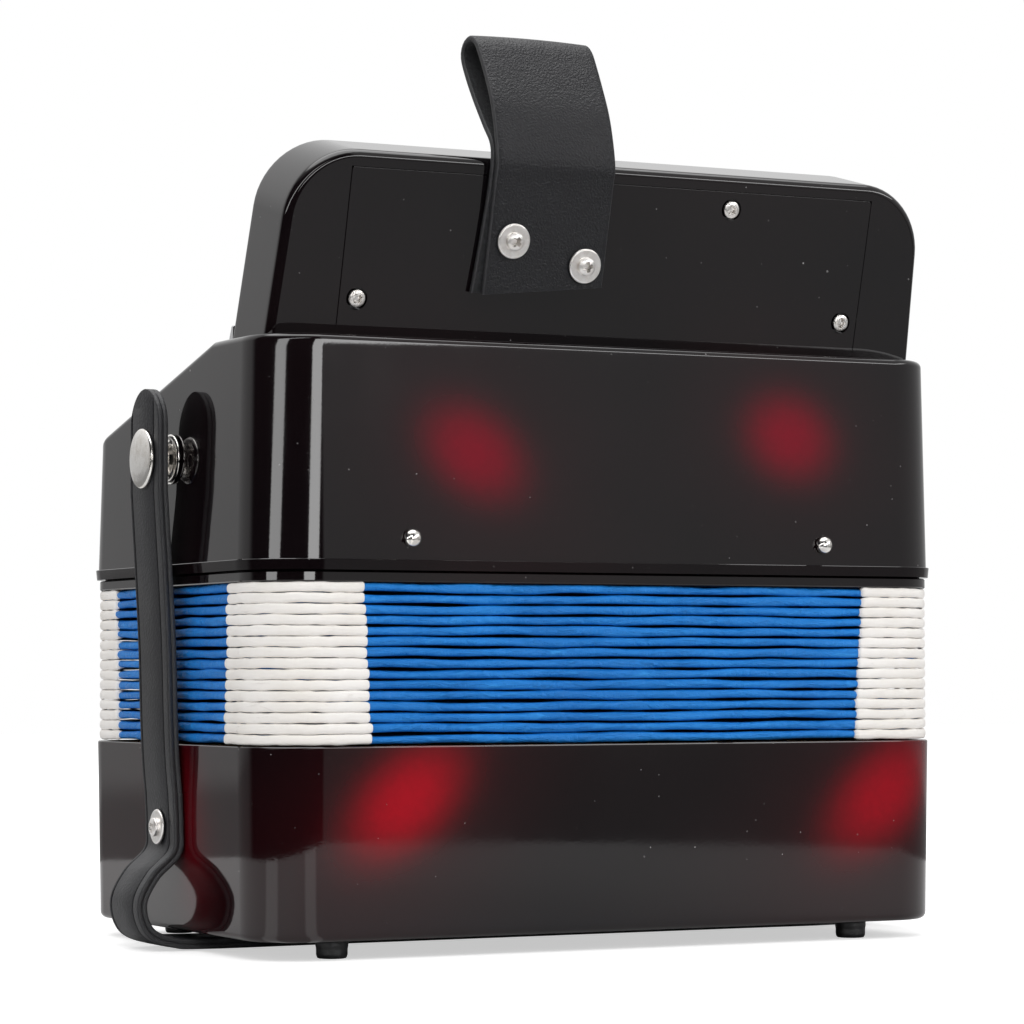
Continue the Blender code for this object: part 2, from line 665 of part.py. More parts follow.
def make_keys(materials):
    """Levers on one axle: a pushed button lifts the pallet off the board inside the case."""
    axle = on_board(0, -KEY_AXLE_DOWN, KEY_ARM_IN)
    pallet_low = TREBLE_BOARD_Z + PAN_THICKNESS + GAP
    pallet_high = pallet_low + PALLET_SIZE[2]
    top = on_board(0, KEY_BUTTON_UP + 0.003, KEY_ARM_IN)
    arm = LEVER_HALF_DEPTH * BOARD_IN
    corners = [
        axle + arm * 1.8,
        top + arm,
        top - arm,
        axle - arm * 1.8,
        axle - BOARD_UP * 0.0026,
        Vector((0, PALLET_Y - 0.006, pallet_high - 0.0004)),
        Vector((0, PALLET_Y + 0.002, pallet_high - 0.0004)),
        Vector((0, PALLET_Y + 0.002, pallet_high + 0.0016)),
        Vector((0, PALLET_Y - 0.004, pallet_high + 0.0024)),
    ]
    pallet = flat_block(0, PALLET_Y, PALLET_SIZE, pallet_low)
    length = BOARD_THICKNESS + KEY_BUTTON_PROUD - KEY_ARM_IN
    button = button_mesh(KEY_BUTTON_RADIUS, length, on_board(0, KEY_BUTTON_UP, KEY_ARM_IN), BOARD_IN)
    lever = slab([(p.y, p.z) for p in corners], -LEVER_WIDTH / 2, LEVER_WIDTH / 2)
    key = new_object("treble_key_1", lever, materials["button"], axle)
    join_all(key, [pallet, button])
    bore_reach = Vector((BORE_HALF_LENGTH, 0, 0))
    cut(key, [rod(BORE_RADIUS, axle - bore_reach, axle + bore_reach)])
    settle(key)
    for index, x in enumerate(key_xs(), 1):
        if index == 1:
            key.location.x = x
        else:
            copy_at(key, f"treble_key_{index}", (x, axle.y, axle.z))
    reach = case_side_x(axle.z) - WALL - 0.001 - GAP
    pin = rod(AXLE_RADIUS, (-reach, axle.y, axle.z), (reach, axle.y, axle.z))
    new_object("treble_key_axle", pin, materials["steel"])


# ---- straps and fasteners ----
def make_hand_strap(material):
    """One strap from the left screw, down, under the bass end and up to the right screw."""
    centre = STRAP_THICKNESS / 2
    on_case = case_side_x(STRAP_SCREW_Z) + GAP + centre
    under = GAP + centre
    left = [
        Vector((-case_side_x(0.0355) - GAP - centre - 0.0003, STRAP_Y, STRAP_HINGE_Z - GAP / 2)),
        Vector((-on_case - 0.0001, STRAP_Y, STRAP_SCREW_Z)),
        Vector((-on_case - 0.0006, STRAP_Y, 0.0225)),
        Vector((-0.0970, STRAP_Y, 0.0172)),
        Vector((-0.1001, STRAP_Y, 0.0110)),
        Vector((-0.0983, STRAP_Y, 0.0048)),
        Vector((-0.0925, STRAP_Y, 0.0021)),
        Vector((-0.0840, STRAP_Y, under)),
        Vector((-0.0500, STRAP_Y, under)),
    ]
    right = [Vector((-p.x, p.y, p.z)) for p in reversed(left)]
    path = smooth_path(left + right, 3)
    widths = [STRAP_WIDTH / 2] * len(path)
    strap = new_object("hand_strap", ribbon(path, Vector((0, 1, 0)), widths, STRAP_THICKNESS), material)
    low, high = on_case - 0.007, on_case + 0.007
    holes = [
        rod(
            STRAP_HOLE_RADIUS,
            (side * low, STRAP_Y, STRAP_SCREW_Z),
            (side * high, STRAP_Y, STRAP_SCREW_Z),
        )
        for side in (-1, 1)
    ]
    cut(strap, holes)


def make_bellows_strap(side, name, material):
    """The free end of the strap, from above the screw up to its rounded tip on the snap."""
    centre = STRAP_THICKNESS / 2
    start_x = case_side_x(0.0365) + GAP + centre + 0.0003
    half = STRAP_WIDTH / 2
    path_points = [
        Vector((start_x, STRAP_Y, STRAP_HINGE_Z + GAP / 2)),
        Vector((0.0922, STRAP_Y, 0.0430)),
        Vector((0.0927, STRAP_Y, 0.0530)),
        Vector((0.0932, STRAP_Y, 0.0700)),
        Vector((0.0941, STRAP_Y, 0.0870)),
        Vector((0.0948, STRAP_Y, 0.0980)),
        Vector((STRAP_TIP_X, STRAP_Y, 0.1060)),
    ]
    path = smooth_path(path_points, 2)
    base = STRAP_TOP_Z - half
    path.append(Vector((STRAP_TIP_X, STRAP_Y, SNAP_Z)))
    widths = [half] * len(path)
    for i in range(6):
        angle = math.pi / 2 * i / 6
        path.append(Vector((STRAP_TIP_X, STRAP_Y, base + half * math.sin(angle))))
        widths.append(half * math.cos(angle))
    path.append(Vector((STRAP_TIP_X, STRAP_Y, STRAP_TOP_Z)))
    widths.append(half * 0.12)
    path = [Vector((p.x * side, p.y, p.z)) for p in path]
    hinge = (side * (start_x + centre), STRAP_Y, STRAP_HINGE_Z)
    strap = new_object(name, ribbon(path, Vector((0, 1, 0)), widths, STRAP_THICKNESS), material, hinge)
    low, high = side * (STRAP_TIP_X - 0.007), side * (STRAP_TIP_X + 0.007)
    cut(strap, [rod(CAP_POST_RADIUS + 0.0004, (low, STRAP_Y, SNAP_Z), (high, STRAP_Y, SNAP_Z))])


def make_snap(side, label, material):
    """The cap riveted through the strap, and the stud it presses on to."""
    strap_inner, strap_outer = STRAP_TIP_X - STRAP_THICKNESS / 2, STRAP_TIP_X + STRAP_THICKNESS / 2
    inner = strap_inner - GAP - 0.0015
    under_cap = strap_outer + GAP
    profile = [
        (0, inner),
        (SOCKET_RADIUS, inner),
        (SOCKET_RADIUS, strap_inner - GAP),
        (CAP_POST_RADIUS, strap_inner - GAP),
        (CAP_POST_RADIUS, under_cap),
        (CAP_RADIUS - 0.0005, under_cap),
        (CAP_RADIUS, under_cap + 0.0005),
        (CAP_RADIUS - 0.0009, under_cap + 0.0011),
        (CAP_RADIUS * 0.5, under_cap + 0.0017),
        (0, under_cap + 0.0019),
    ]
    axis = (side, 0, 0)
    cap = turned(profile, 20, (0, STRAP_Y, SNAP_Z), axis)
    new_object(f"snap_cap_{label}", cap, material, (side * strap_inner, STRAP_Y, SNAP_Z))
    face = case_side_x(SNAP_Z) + GAP
    tip = inner - GAP
    profile = [
        (0, face - 0.0045),
        (0.0013, face - 0.0045),
        (0.0013, face),
        (0.0050, face),
        (0.0050, face + 0.0008),
        (0.0020, face + 0.0012),
        (0.0020, tip),
        (0, tip),
    ]
    stud = turned(profile, 16, (0, STRAP_Y, SNAP_Z), axis)
    new_object(f"snap_stud_{label}", stud, material, (side * face, STRAP_Y, SNAP_Z))


def screw_mesh(head_radius, head_height, shank, seat, axis, washer_radius=0.0):
    """A dome-headed screw; seat is the point where the underside of its head or washer rests."""
    washer = WASHER_THICKNESS if washer_radius else 0.0
    profile = [(0, -shank), (SHANK_RADIUS, -shank), (SHANK_RADIUS, 0)]
    if washer_radius:
        profile += [(washer_radius, 0), (washer_radius, washer * 0.6), (washer_radius - 0.0004, washer)]
    profile += [
        (head_radius, washer),
        (head_radius, washer + head_height * 0.45),
        (head_radius * 0.6, washer + head_height * 0.9),
        (0, washer + head_height),
    ]
    return turned(profile, 14, seat, axis)


def make_fasteners(material):
    """The strap screws, the pins that hold the bellows, and the screws on the fingerboard."""
    strap_shank, pin_shank, cover_shank, thumb_shank = 0.0060, 0.0042, 0.0055, 0.0085
    for side, label in ((-1, "left"), (1, "right")):
        seat_x = case_side_x(STRAP_SCREW_Z) + STRAP_THICKNESS + 2 * GAP + 0.0002
        seat = Vector((side * seat_x, STRAP_Y, STRAP_SCREW_Z))
        mesh = screw_mesh(HEAD_RADIUS, HEAD_HEIGHT, strap_shank, seat, (side, 0, 0), WASHER_RADIUS)
        new_object(f"strap_screw_{label}", mesh, material, seat)
        wall_y = CASE_DEPTH / 2 - CASE_TAPER * (PIN_Z - TREBLE_FRAME_Z)
        seat = Vector((side * PIN_X, -wall_y - GAP, PIN_Z))
        mesh = screw_mesh(HEAD_RADIUS, PIN_HEAD_HEIGHT, pin_shank, seat, (0, -1, 0))
        new_object(f"bellows_pin_{label}", mesh, material, seat)
    for index, (x, up) in enumerate(COVER_SCREWS, 1):
        seat = on_board(x, up, -GAP)
        mesh = screw_mesh(COVER_HEAD_RADIUS, COVER_HEAD_HEIGHT, cover_shank, seat, -BOARD_IN)
        new_object(f"cover_screw_{index}", mesh, material, seat)
    stack = 2 * THUMB_STRAP_THICKNESS + 3 * GAP
    for index, (x, up) in enumerate(THUMB_SCREWS, 1):
        seat = on_board(x, up, -stack)
        mesh = screw_mesh(HEAD_RADIUS, HEAD_HEIGHT, thumb_shank, seat, -BOARD_IN, WASHER_RADIUS)
        new_object(f"thumb_strap_screw_{index}", mesh, material, seat)


def thumb_strap_path():
    """Up the back layer, over the loop and down the front layer, in the plane across the board."""
    half = THUMB_STRAP_THICKNESS / 2
    back = GAP + half
    front = back + THUMB_STRAP_THICKNESS + GAP
    edge = on_board(0, BOARD_HEIGHT, -front)
    rise = [  # (y, z) from where the front layer passes the top of the board
        (0.0024, 0.0036),
        (0.0066, 0.0090),
        (0.0113, 0.0150),
        (0.0155, 0.0212),
        (0.0180, 0.0262),
        (0.0170, 0.0291),
        (0.0141, 0.0301),
        (0.0112, 0.0286),
        (0.0088, 0.0250),
        (0.0058, 0.0195),
        (0.0028, 0.0130),
        (0.0010, 0.0065),
    ]
    ups = (THUMB_STRAP_END_UP, 0.0250, 0.0385)
    path = [on_board(0, up, -back) for up in ups]
    path += [Vector((0, edge.y + y, edge.z + z)) for y, z in rise]
    path += [edge] + [on_board(0, up, -front) for up in reversed(ups)]
    return smooth_path(path, 2)


def make_thumb_strap(material):
    path = [Vector((THUMB_STRAP_X, p.y, p.z)) for p in thumb_strap_path()]
    widths = [THUMB_STRAP_WIDTH / 2] * len(path)
    ribbon_mesh = ribbon(path, Vector((1, 0, 0)), widths, THUMB_STRAP_THICKNESS)
    strap = new_object("thumb_strap", ribbon_mesh, material)
    holes = [(on_board(x, up, -0.006), on_board(x, up, 0.001)) for x, up in THUMB_SCREWS]
    cut(strap, [rod(SMALL_HOLE_RADIUS, low, high) for low, high in holes])


def main():
    for thing in list(bpy.data.objects):
        bpy.data.objects.remove(thing)
    materials = make_materials()

    make_bass_case(materials["case"])
    make_feet(materials["rubber"])
    make_ring(
        "bass_bellows_frame",
        materials["wood"],
        BELLOWS_Z - GAP - BASS_FRAME_HEIGHT,
        BELLOWS_Z - GAP,
        WALL + 0.0008,
        FRAME_INNER_INSET,
    )
    bass_xs = list(BASS_KEY_X.values())
    bass_holes = [(x, BASS_PALLET_Y) for x in bass_xs]
    make_pan("bass_pallet_board", materials["wood"], BASS_BOARD_Z, WALL + 0.0009, bass_holes)
    make_reed_block(
        "bass_reed_block",
        materials["wood"],
        BASS_BOARD_Z + PAN_THICKNESS + GAP,
        BELLOWS_Z - 0.001,
        BASS_PALLET_Y,
        bass_xs[:2],
        True,
    )
    strap_back = min(point.y for point in thumb_strap_path()) - THUMB_STRAP_THICKNESS / 2
    make_bass_keys(materials, button_reach=-strap_back)

    make_folds(materials["bellows"])

    make_ring(
        "treble_bellows_frame",
        materials["frame"],
        TREBLE_FRAME_Z,
        TREBLE_FRAME_Z + FRAME_STRIP,
        0.0004,
        FRAME_INNER_INSET,
    )
    make_treble_case(materials["case"])
    treble_holes = [(x, PALLET_Y) for x in key_xs()]
    make_pan("treble_pallet_board", materials["wood"], TREBLE_BOARD_Z, WALL + 0.0012, treble_holes)
    make_reed_block(
        "treble_reed_block",
        materials["wood"],
        TREBLE_BOARD_Z - GAP - REED_BLOCK_HEIGHT,
        TREBLE_BOARD_Z - GAP,
        PALLET_Y,
        key_xs(),
        False,
    )
    make_grille(materials["grille"])
    make_fingerboard(materials["case"])
    make_cover(materials["case"])
    make_keys(materials)

    make_hand_strap(materials["leather"])
    for side, label in ((-1, "left"), (1, "right")):
        make_bellows_strap(side, f"bellows_strap_{label}", materials["leather"])
        make_snap(side, label, materials["nickel"])
    make_thumb_strap(materials["leather"])
    make_fasteners(materials["nickel"])


main()
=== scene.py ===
"""The looks of a small button accordion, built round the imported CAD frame.

+X runs along the wide side, -Y is the player's side with the thumb strap, +Y the front with
the grille, and +Z runs from the bass end up to the treble end. Everything is in metres.
"""

import math
import random

import bmesh
import bpy
from mathutils import Matrix, Vector


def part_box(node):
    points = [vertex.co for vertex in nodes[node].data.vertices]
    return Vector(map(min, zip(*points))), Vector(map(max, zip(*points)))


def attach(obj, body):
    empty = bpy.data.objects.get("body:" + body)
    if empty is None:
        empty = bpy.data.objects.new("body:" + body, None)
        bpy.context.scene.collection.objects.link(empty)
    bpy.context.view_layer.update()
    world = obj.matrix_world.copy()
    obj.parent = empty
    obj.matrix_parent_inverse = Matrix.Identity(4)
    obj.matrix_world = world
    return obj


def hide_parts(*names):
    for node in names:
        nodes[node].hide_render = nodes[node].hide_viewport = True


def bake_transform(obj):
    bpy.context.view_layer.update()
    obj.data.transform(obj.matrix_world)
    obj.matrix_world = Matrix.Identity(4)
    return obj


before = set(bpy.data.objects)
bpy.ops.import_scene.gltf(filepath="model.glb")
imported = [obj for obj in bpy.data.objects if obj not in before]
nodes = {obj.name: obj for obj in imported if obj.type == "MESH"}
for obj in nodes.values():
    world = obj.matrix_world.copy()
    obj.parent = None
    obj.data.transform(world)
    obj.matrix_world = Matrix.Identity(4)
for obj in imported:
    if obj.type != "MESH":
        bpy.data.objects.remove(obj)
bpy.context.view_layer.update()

BASS = "bass_end"
TREBLE = "treble_end"

# ---- sizes read from the frame ----
bass_low, bass_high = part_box("bass_case")
treble_low, treble_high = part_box("treble_case")
frame_low, frame_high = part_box("treble_bellows_frame")
FOLD_COUNT = sum(name.startswith("fold_") for name in nodes)
KEY_COUNT = sum(name.startswith("treble_key_") for name in nodes) - 1
first_fold, last_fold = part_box("fold_01"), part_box(f"fold_{FOLD_COUNT:02d}")
FOLD_PITCH = (last_fold[0].z - first_fold[0].z) / (FOLD_COUNT - 1)
FOLD_MIDDLE = (first_fold[0].z + first_fold[1].z) / 2
TREBLE_TOP = treble_high.z
BELLOWS_TOP = frame_low.z
BELLOWS_LOW = FOLD_MIDDLE - FOLD_PITCH / 2

# ---- sizes shared with the CAD source ----
LIP_PROUD = 0.0006
LIP_HEIGHT = 0.0024
CASE_WIDTH = treble_high.x - treble_low.x - 2 * LIP_PROUD
CASE_DEPTH = treble_high.y - treble_low.y - 2 * LIP_PROUD
CORNER_RADIUS = 0.0149
CASE_TAPER = 0.0182
WALL = 0.0022
GAP = 0.0003
FOLD_INSET = 0.0007
SLOPE_START_Y = -0.0255
SLOPE_ANGLE = math.radians(14.0)
FRONT_ROUND = 0.010
BOARD_LEAN = math.radians(14.5)
BOARD_BACK_Y = -0.0477
BOARD_HALF_WIDTH = 0.085
BOARD_TAPER = 0.055
BOARD_HEIGHT = 0.0425
BOARD_THICKNESS = 0.020
BOARD_CORNER = 0.016
BOARD_EDGE = 0.0019
COVER_HALF_WIDTH = 0.0685
COVER_TOP = 0.0388
COVER_THICKNESS = 0.0018
KEY_PITCH = 0.019
KEY_BUTTON_RADIUS = 0.0055
KEY_BUTTON_UP = 0.022
KEY_ARM_IN = 0.0095
BASS_BUTTON_RADIUS = 0.0045
BASS_BUTTON_Z = 0.0280
STRAP_WIDTH = 0.0186
STRAP_Y = -0.0022
STRAP_MARGIN_NEAR, STRAP_MARGIN_FAR = 0.0036, 0.0013
STRAP_THICKNESS = 0.0024
STRAP_SCREW_Z = 0.0282
STRAP_HINGE_Z = 0.0363
STRAP_TOP_Z = 0.1298
STRAP_TIP_X = 0.0953
SNAP_Z = 0.1136
THUMB_STRAP_X = -0.0190
THUMB_STRAP_WIDTH = 0.0305
THUMB_STRAP_THICKNESS = 0.0014
COVER_SCREWS = ((-0.0640, 0.0090), (0.0640, 0.0090), (0.0300, 0.0345))
THUMB_SCREWS = ((-0.0282, 0.0245), (-0.0092, 0.0197))

# ---- sizes and names that only this script uses ----
CAMERA_PLACE = (-0.3976, -0.7842, 0.0628)
HINGE_GAP = 0.00002
CAP_RIM = 0.0009
CUT_SHARP = 28.0
VALLEY_OVERLAP = 0.0003
SQUARE = ((-1, -1), (1, -1), (1, 1), (-1, 1))
SIDES = ((-1, "left"), (1, "right"))
BASS_KEYS = ("bass_key_1", "bass_key_2", "air_key")
STRAP_LOOKS = ("strap", "edge", "groove")
KEY_LOOKS = ("pearl", "steel", "wood", "felt")

BOARD_UP = Vector((0, -math.sin(BOARD_LEAN), math.cos(BOARD_LEAN)))
BOARD_IN = Vector((0, math.cos(BOARD_LEAN), math.sin(BOARD_LEAN)))


def on_board(across, up, depth):
    """A point given along the fingerboard's width, up it, and in from its back face."""
    return Vector((across, BOARD_BACK_Y, TREBLE_TOP)) + BOARD_UP * up + BOARD_IN * depth


# ---- camera, floor and light ----
def make_camera():
    """The view: from near the back left corner, a little above the floor."""
    right = Vector((0.89174, -0.45255, -0.00194))
    up = Vector((-0.01900, -0.04172, 0.99895))
    forward = Vector((0.45215, 0.89077, 0.04580))
    data = bpy.data.cameras.new("camera")
    data.lens = 126.3
    data.sensor_width = 36.0
    data.clip_start, data.clip_end = 0.01, 50
    camera = bpy.data.objects.new("camera", data)
    turn = Matrix((right, up, -forward)).transposed().to_4x4()
    camera.matrix_world = Matrix.Translation(CAMERA_PLACE) @ turn
    bpy.context.scene.collection.objects.link(camera)
    bpy.context.scene.camera = camera


class Graph:
    """Short calls for building a node tree."""

    def __init__(self, tree):
        self.tree = tree
        tree.nodes.clear()

    def add(self, kind, inputs=None, **settings):
        made = self.tree.nodes.new("ShaderNode" + kind)
        for key, value in settings.items():
            setattr(made, key, value)
        for key, value in (inputs or {}).items():
            self.put(made.inputs[key], value)
        return made

    def put(self, socket, value):
        if isinstance(value, bpy.types.NodeSocket):
            self.tree.links.new(value, socket)
        else:
            socket.default_value = value

    def math(self, operation, first, second=0.0, clamp=False):
        made = self.add("Math", {0: first, 1: second}, operation=operation, use_clamp=clamp)
        return made.outputs[0]

    def times(self, first, second, clamp=False):
        return self.math("MULTIPLY", first, second, clamp)

    def plus(self, first, second, clamp=False):
        return self.math("ADD", first, second, clamp)

    def minus(self, first, second, clamp=False):
        return self.math("SUBTRACT", first, second, clamp)

    def vector(self, operation, first, second=(0, 0, 0), out=0):
        made = self.add("VectorMath", {0: first, 1: second}, operation=operation)
        return made.outputs[out]

    def mix(self, factor, first, second):
        made = self.add("Mix", data_type="RGBA")
        self.put(made.inputs[0], factor)
        for key, colour in ((6, first), (7, second)):
            self.put(made.inputs[key], (*colour, 1) if isinstance(colour, tuple) else colour)
        return made.outputs[2]

    def spread(self, value, low, high, out_low=0.0, out_high=1.0, smooth=False):
        made = self.add("MapRange", {0: value, 1: low, 2: high, 3: out_low, 4: out_high})
        if smooth:
            made.interpolation_type = "SMOOTHSTEP"
        return made.outputs[0]

    def sector(self, value, low, high, soft_low, soft_high):
        """1 between two limits and 0 outside them, with soft edges."""
        rise = self.spread(value, low - soft_low, low + soft_low, smooth=True)
        fall = self.spread(value, high - soft_high, high + soft_high, smooth=True)
        return self.minus(rise, fall)

    def azimuths(self, value, *degrees):
        """The same for an angle, with its limits in degrees."""
        return self.sector(value, *(math.radians(angle) for angle in degrees))

    def noise(self, place, scale, detail=3.0, roughness=0.5, distortion=0.0):
        named = {"Vector": place, "Scale": scale, "Detail": detail}
        made = self.add("TexNoise", {**named, "Roughness": roughness, "Distortion": distortion})
        return made.outputs[0]

    def voronoi(self, place, scale, feature="F1", out="Distance"):
        made = self.add("TexVoronoi", {"Vector": place, "Scale": scale}, feature=feature)
        return made.outputs[out]

    def stretched(self, place, factors):
        return self.vector("MULTIPLY", place, factors)

    def bump(self, height, distance, strength=1.0, below=None):
        inputs = {"Height": height, "Distance": distance, "Strength": strength}
        if below is not None:
            inputs["Normal"] = below
        return self.add("Bump", inputs).outputs[0]


class Finish(Graph):
    """A Principled material's graph, with a short call for each input that a pattern drives."""

    def __init__(self, name, colour, roughness, metallic=0.0, **inputs):
        self.material = bpy.data.materials.new(name)
        self.material.use_nodes = True
        super().__init__(self.material.node_tree)
        named = {"Base Color": (*colour, 1), "Roughness": roughness, "Metallic": metallic}
        for key, value in inputs.items():
            named[key.replace("_", " ")] = value
        shader = self.add("BsdfPrincipled", named)
        self.inputs = shader.inputs
        self.add("OutputMaterial", {"Surface": shader.outputs[0]})
        self.place = self.add("TexCoord").outputs["Object"]

    def colour(self, value):
        self.put(self.inputs["Base Color"], value)

    def rough(self, value):
        self.put(self.inputs["Roughness"], value)

    def shine(self, value):
        self.put(self.inputs["Specular IOR Level"], value)

    def relief(self, value):
        self.put(self.inputs["Normal"], value)


def make_world():
    """White for the camera, grey for soft light, and studio panels for reflections."""
    world = bpy.data.worlds.new("studio")
    world.use_nodes = True
    bpy.context.scene.world = world
    g = Graph(world.node_tree)
    way = g.add("TexCoord").outputs["Generated"]
    x, y, z = g.add("SeparateXYZ", {0: way}).outputs
    azimuth = g.math("ARCTAN2", g.times(x, -1.0), g.times(y, -1.0))

    # grey sky and ground, with a black flag that keeps one side of the case dark
    sky = g.spread(z, 0.0, 0.5, 0.46, 0.75)
    near_ground = g.spread(z, -0.046, -0.038, 0.25, 0.52)
    low_ground = g.spread(z, -0.26, -0.12, 0.46, 0.16)
    ground = g.math("MAXIMUM", near_ground, low_ground)
    level = g.math("MINIMUM", sky, g.math("MAXIMUM", ground, g.spread(z, -0.004, 0.0)))
    flag = g.times(g.azimuths(azimuth, -21, 116, 3, 7), g.sector(z, -0.5, 0.75, 0.05, 0.2))
    level = g.times(level, g.minus(1.0, g.times(flag, 0.97)))

    # two upright light boxes that lean outwards, a lamp overhead and a pale wall in front
    lean = g.times(g.minus(g.math("ARCSINE", z), math.radians(3.5)), 2.8)
    leaning = g.plus(azimuth, lean)
    wide_box = g.times(g.azimuths(leaning, 57, 77, 1.0, 1.0), 5.6)
    narrow_box = g.times(g.azimuths(leaning, -11, 8, 0.7, 0.7), 7.6)
    boxes = g.times(g.plus(wide_box, narrow_box), g.sector(z, -0.004, 0.42, 0.004, 0.02))
    overhead = g.times(g.spread(z, 0.80, 0.88, smooth=True), 3.6)
    wall = g.times(g.spread(y, 0.30, 0.75), g.spread(z, 0.06, 0.36, 0.05, 0.36))
    wall = g.times(wall, g.spread(z, -0.01, 0.01))
    studio = g.plus(g.plus(g.plus(level, wall), overhead), boxes)

    rays = g.add("LightPath").outputs
    glossy, camera = rays["Is Glossy Ray"], rays["Is Camera Ray"]
    seen = g.plus(g.times(glossy, studio), camera)
    diffuse = g.minus(1.0, g.plus(glossy, camera), True)
    strength = g.plus(seen, g.times(diffuse, 0.62))
    shade = g.add("Background", {"Color": (1, 1, 1, 1), "Strength": strength})
    g.add("OutputWorld", {"Surface": shade.outputs[0]})


def make_floor():
    """A plain white floor, which mirrors in the case only as far as a table top would."""
    size, table_radius = 3.0, 0.37
    streak_centre = (-0.0745, -0.0457)
    mesh = bpy.data.meshes.new("floor")
    mesh.from_pydata([(size * x, size * y, 0) for x, y in SQUARE], [], [(0, 1, 2, 3)])
    floor = bpy.data.objects.new("floor", mesh)
    bpy.context.scene.collection.objects.link(floor)
    material = bpy.data.materials.new("floor_white")
    material.use_nodes = True
    g = Graph(material.node_tree)
    place = g.add("TexCoord").outputs["Object"]
    rays = g.add("LightPath").outputs
    far = g.math("GREATER_THAN", g.vector("LENGTH", place, out=1), table_radius)
    hidden = g.times(far, rays["Is Glossy Ray"])
    paper = g.add("BsdfDiffuse", {"Color": (0.80, 0.80, 0.80, 1)})

    # light from the two boxes lies across the floor, away from the case's near corner
    x, y, _ = g.add("SeparateXYZ", {0: place}).outputs
    azimuth = g.math("ARCTAN2", g.minus(streak_centre[0], x), g.minus(streak_centre[1], y))
    streaks = g.plus(g.azimuths(azimuth, 60, 82, 3, 3), g.azimuths(azimuth, -7, 12, 3, 3))
    glow = g.times(rays["Is Camera Ray"], 0.55)
    sheen = g.times(g.times(streaks, rays["Is Glossy Ray"]), 0.6)
    light = g.add("Emission", {"Color": (1, 1, 1, 1), "Strength": g.plus(glow, sheen)})
    white = g.add("AddShader", {0: paper.outputs[0], 1: light.outputs[0]})
    clear = g.add("BsdfTransparent")
    blend = g.add("MixShader", {0: hidden, 1: white.outputs[0], 2: clear.outputs[0]})
    g.add("OutputMaterial", {"Surface": blend.outputs[0]})
    mesh.materials.append(material)


def make_light(name, place, target, size, power):
    data = bpy.data.lights.new(name, "AREA")
    data.shape = "DISK"
    data.size = size
    data.energy = power
    light = bpy.data.objects.new(name, data)
    light.location = place
    light.rotation_euler = (Vector(target) - Vector(place)).to_track_quat("-Z", "Y").to_euler()
    light.visible_glossy = False
    light.visible_camera = False
    bpy.context.scene.collection.objects.link(light)


def make_lights():
    middle = (0, 0, 0.09)
    make_light("key", (-0.9, -1.5, 1.5), middle, 1.2, 17.0)
    make_light("fill", (1.3, -1.2, 0.9), middle, 1.2, 8.0)
    make_light("back", (0.2, 1.6, 1.3), middle, 1.4, 14.0)


# ---- materials ----
def finish(name, colour, roughness, metallic=0.0, **inputs):
    """A new material's graph and its object coordinates."""
    g = Finish(name, colour, roughness, metallic, **inputs)
    return g, g.place


# centre, direction of the long axis, half lengths along and across, colour
TREBLE_RED = (0.168, 0.004, 0.013)
BASS_RED = (0.35, 0.0040, 0.0120)
DEEP_RED = (0.27, 0.0040, 0.0110)
SIDE_RED = (0.085, 0.002, 0.005)
BLOB_REACH = 0.030
BLOBS = (
    ((-0.0380, -0.057, 0.1135), (1, 0, -0.6), 0.0103, 0.0074, TREBLE_RED),
    ((0.0452, -0.057, 0.1192), (1, 0, -0.3), 0.0093, 0.0076, TREBLE_RED),
    ((-0.0550, -0.057, 0.0352), (1, 0, 0.80), 0.0122, 0.0074, BASS_RED),
    ((0.0705, -0.057, 0.0345), (1, 0, 0.80), 0.0135, 0.0078, DEEP_RED),
    ((-0.0896, -0.0080, 0.0330), (0, 0.4, 1), 0.0200, 0.0110, SIDE_RED),
    ((0.0896, -0.0080, 0.0330), (0, 0.4, 1), 0.0200, 0.0110, SIDE_RED),
    ((-0.0545, 0.057, 0.0330), (1, 0, 0.95), 0.0140, 0.0090, BASS_RED),
    ((0.0703, 0.057, 0.0310), (1, 0, 0.85), 0.0150, 0.0094, DEEP_RED),
)


def blob_mask(g, centre, along, half_long, half_short):
    """A soft airbrushed spot: a Gaussian hill in three directions round its centre."""
    on_wide_face = abs(centre[1]) > abs(centre[0]) * CASE_DEPTH / CASE_WIDTH
    outward = Vector((0, 1, 0)) if on_wide_face else Vector((1, 0, 0))
    long_way = Vector(along).normalized()
    short_way = outward.cross(long_way)
    offset = g.vector("SUBTRACT", g.place, centre)
    total = 0.0
    for way, half in ((long_way, half_long), (short_way, half_short), (outward, BLOB_REACH)):
        step = g.vector("DOT_PRODUCT", offset, tuple(way / half), out=1)
        total = g.plus(total, g.times(step, step))
    core = g.math("POWER", math.e, g.times(g.math("POWER", total, 1.25), -0.62))
    halo = g.math("POWER", math.e, g.times(total, -0.12))
    return g.plus(g.times(core, 0.95), g.times(halo, 0.05))


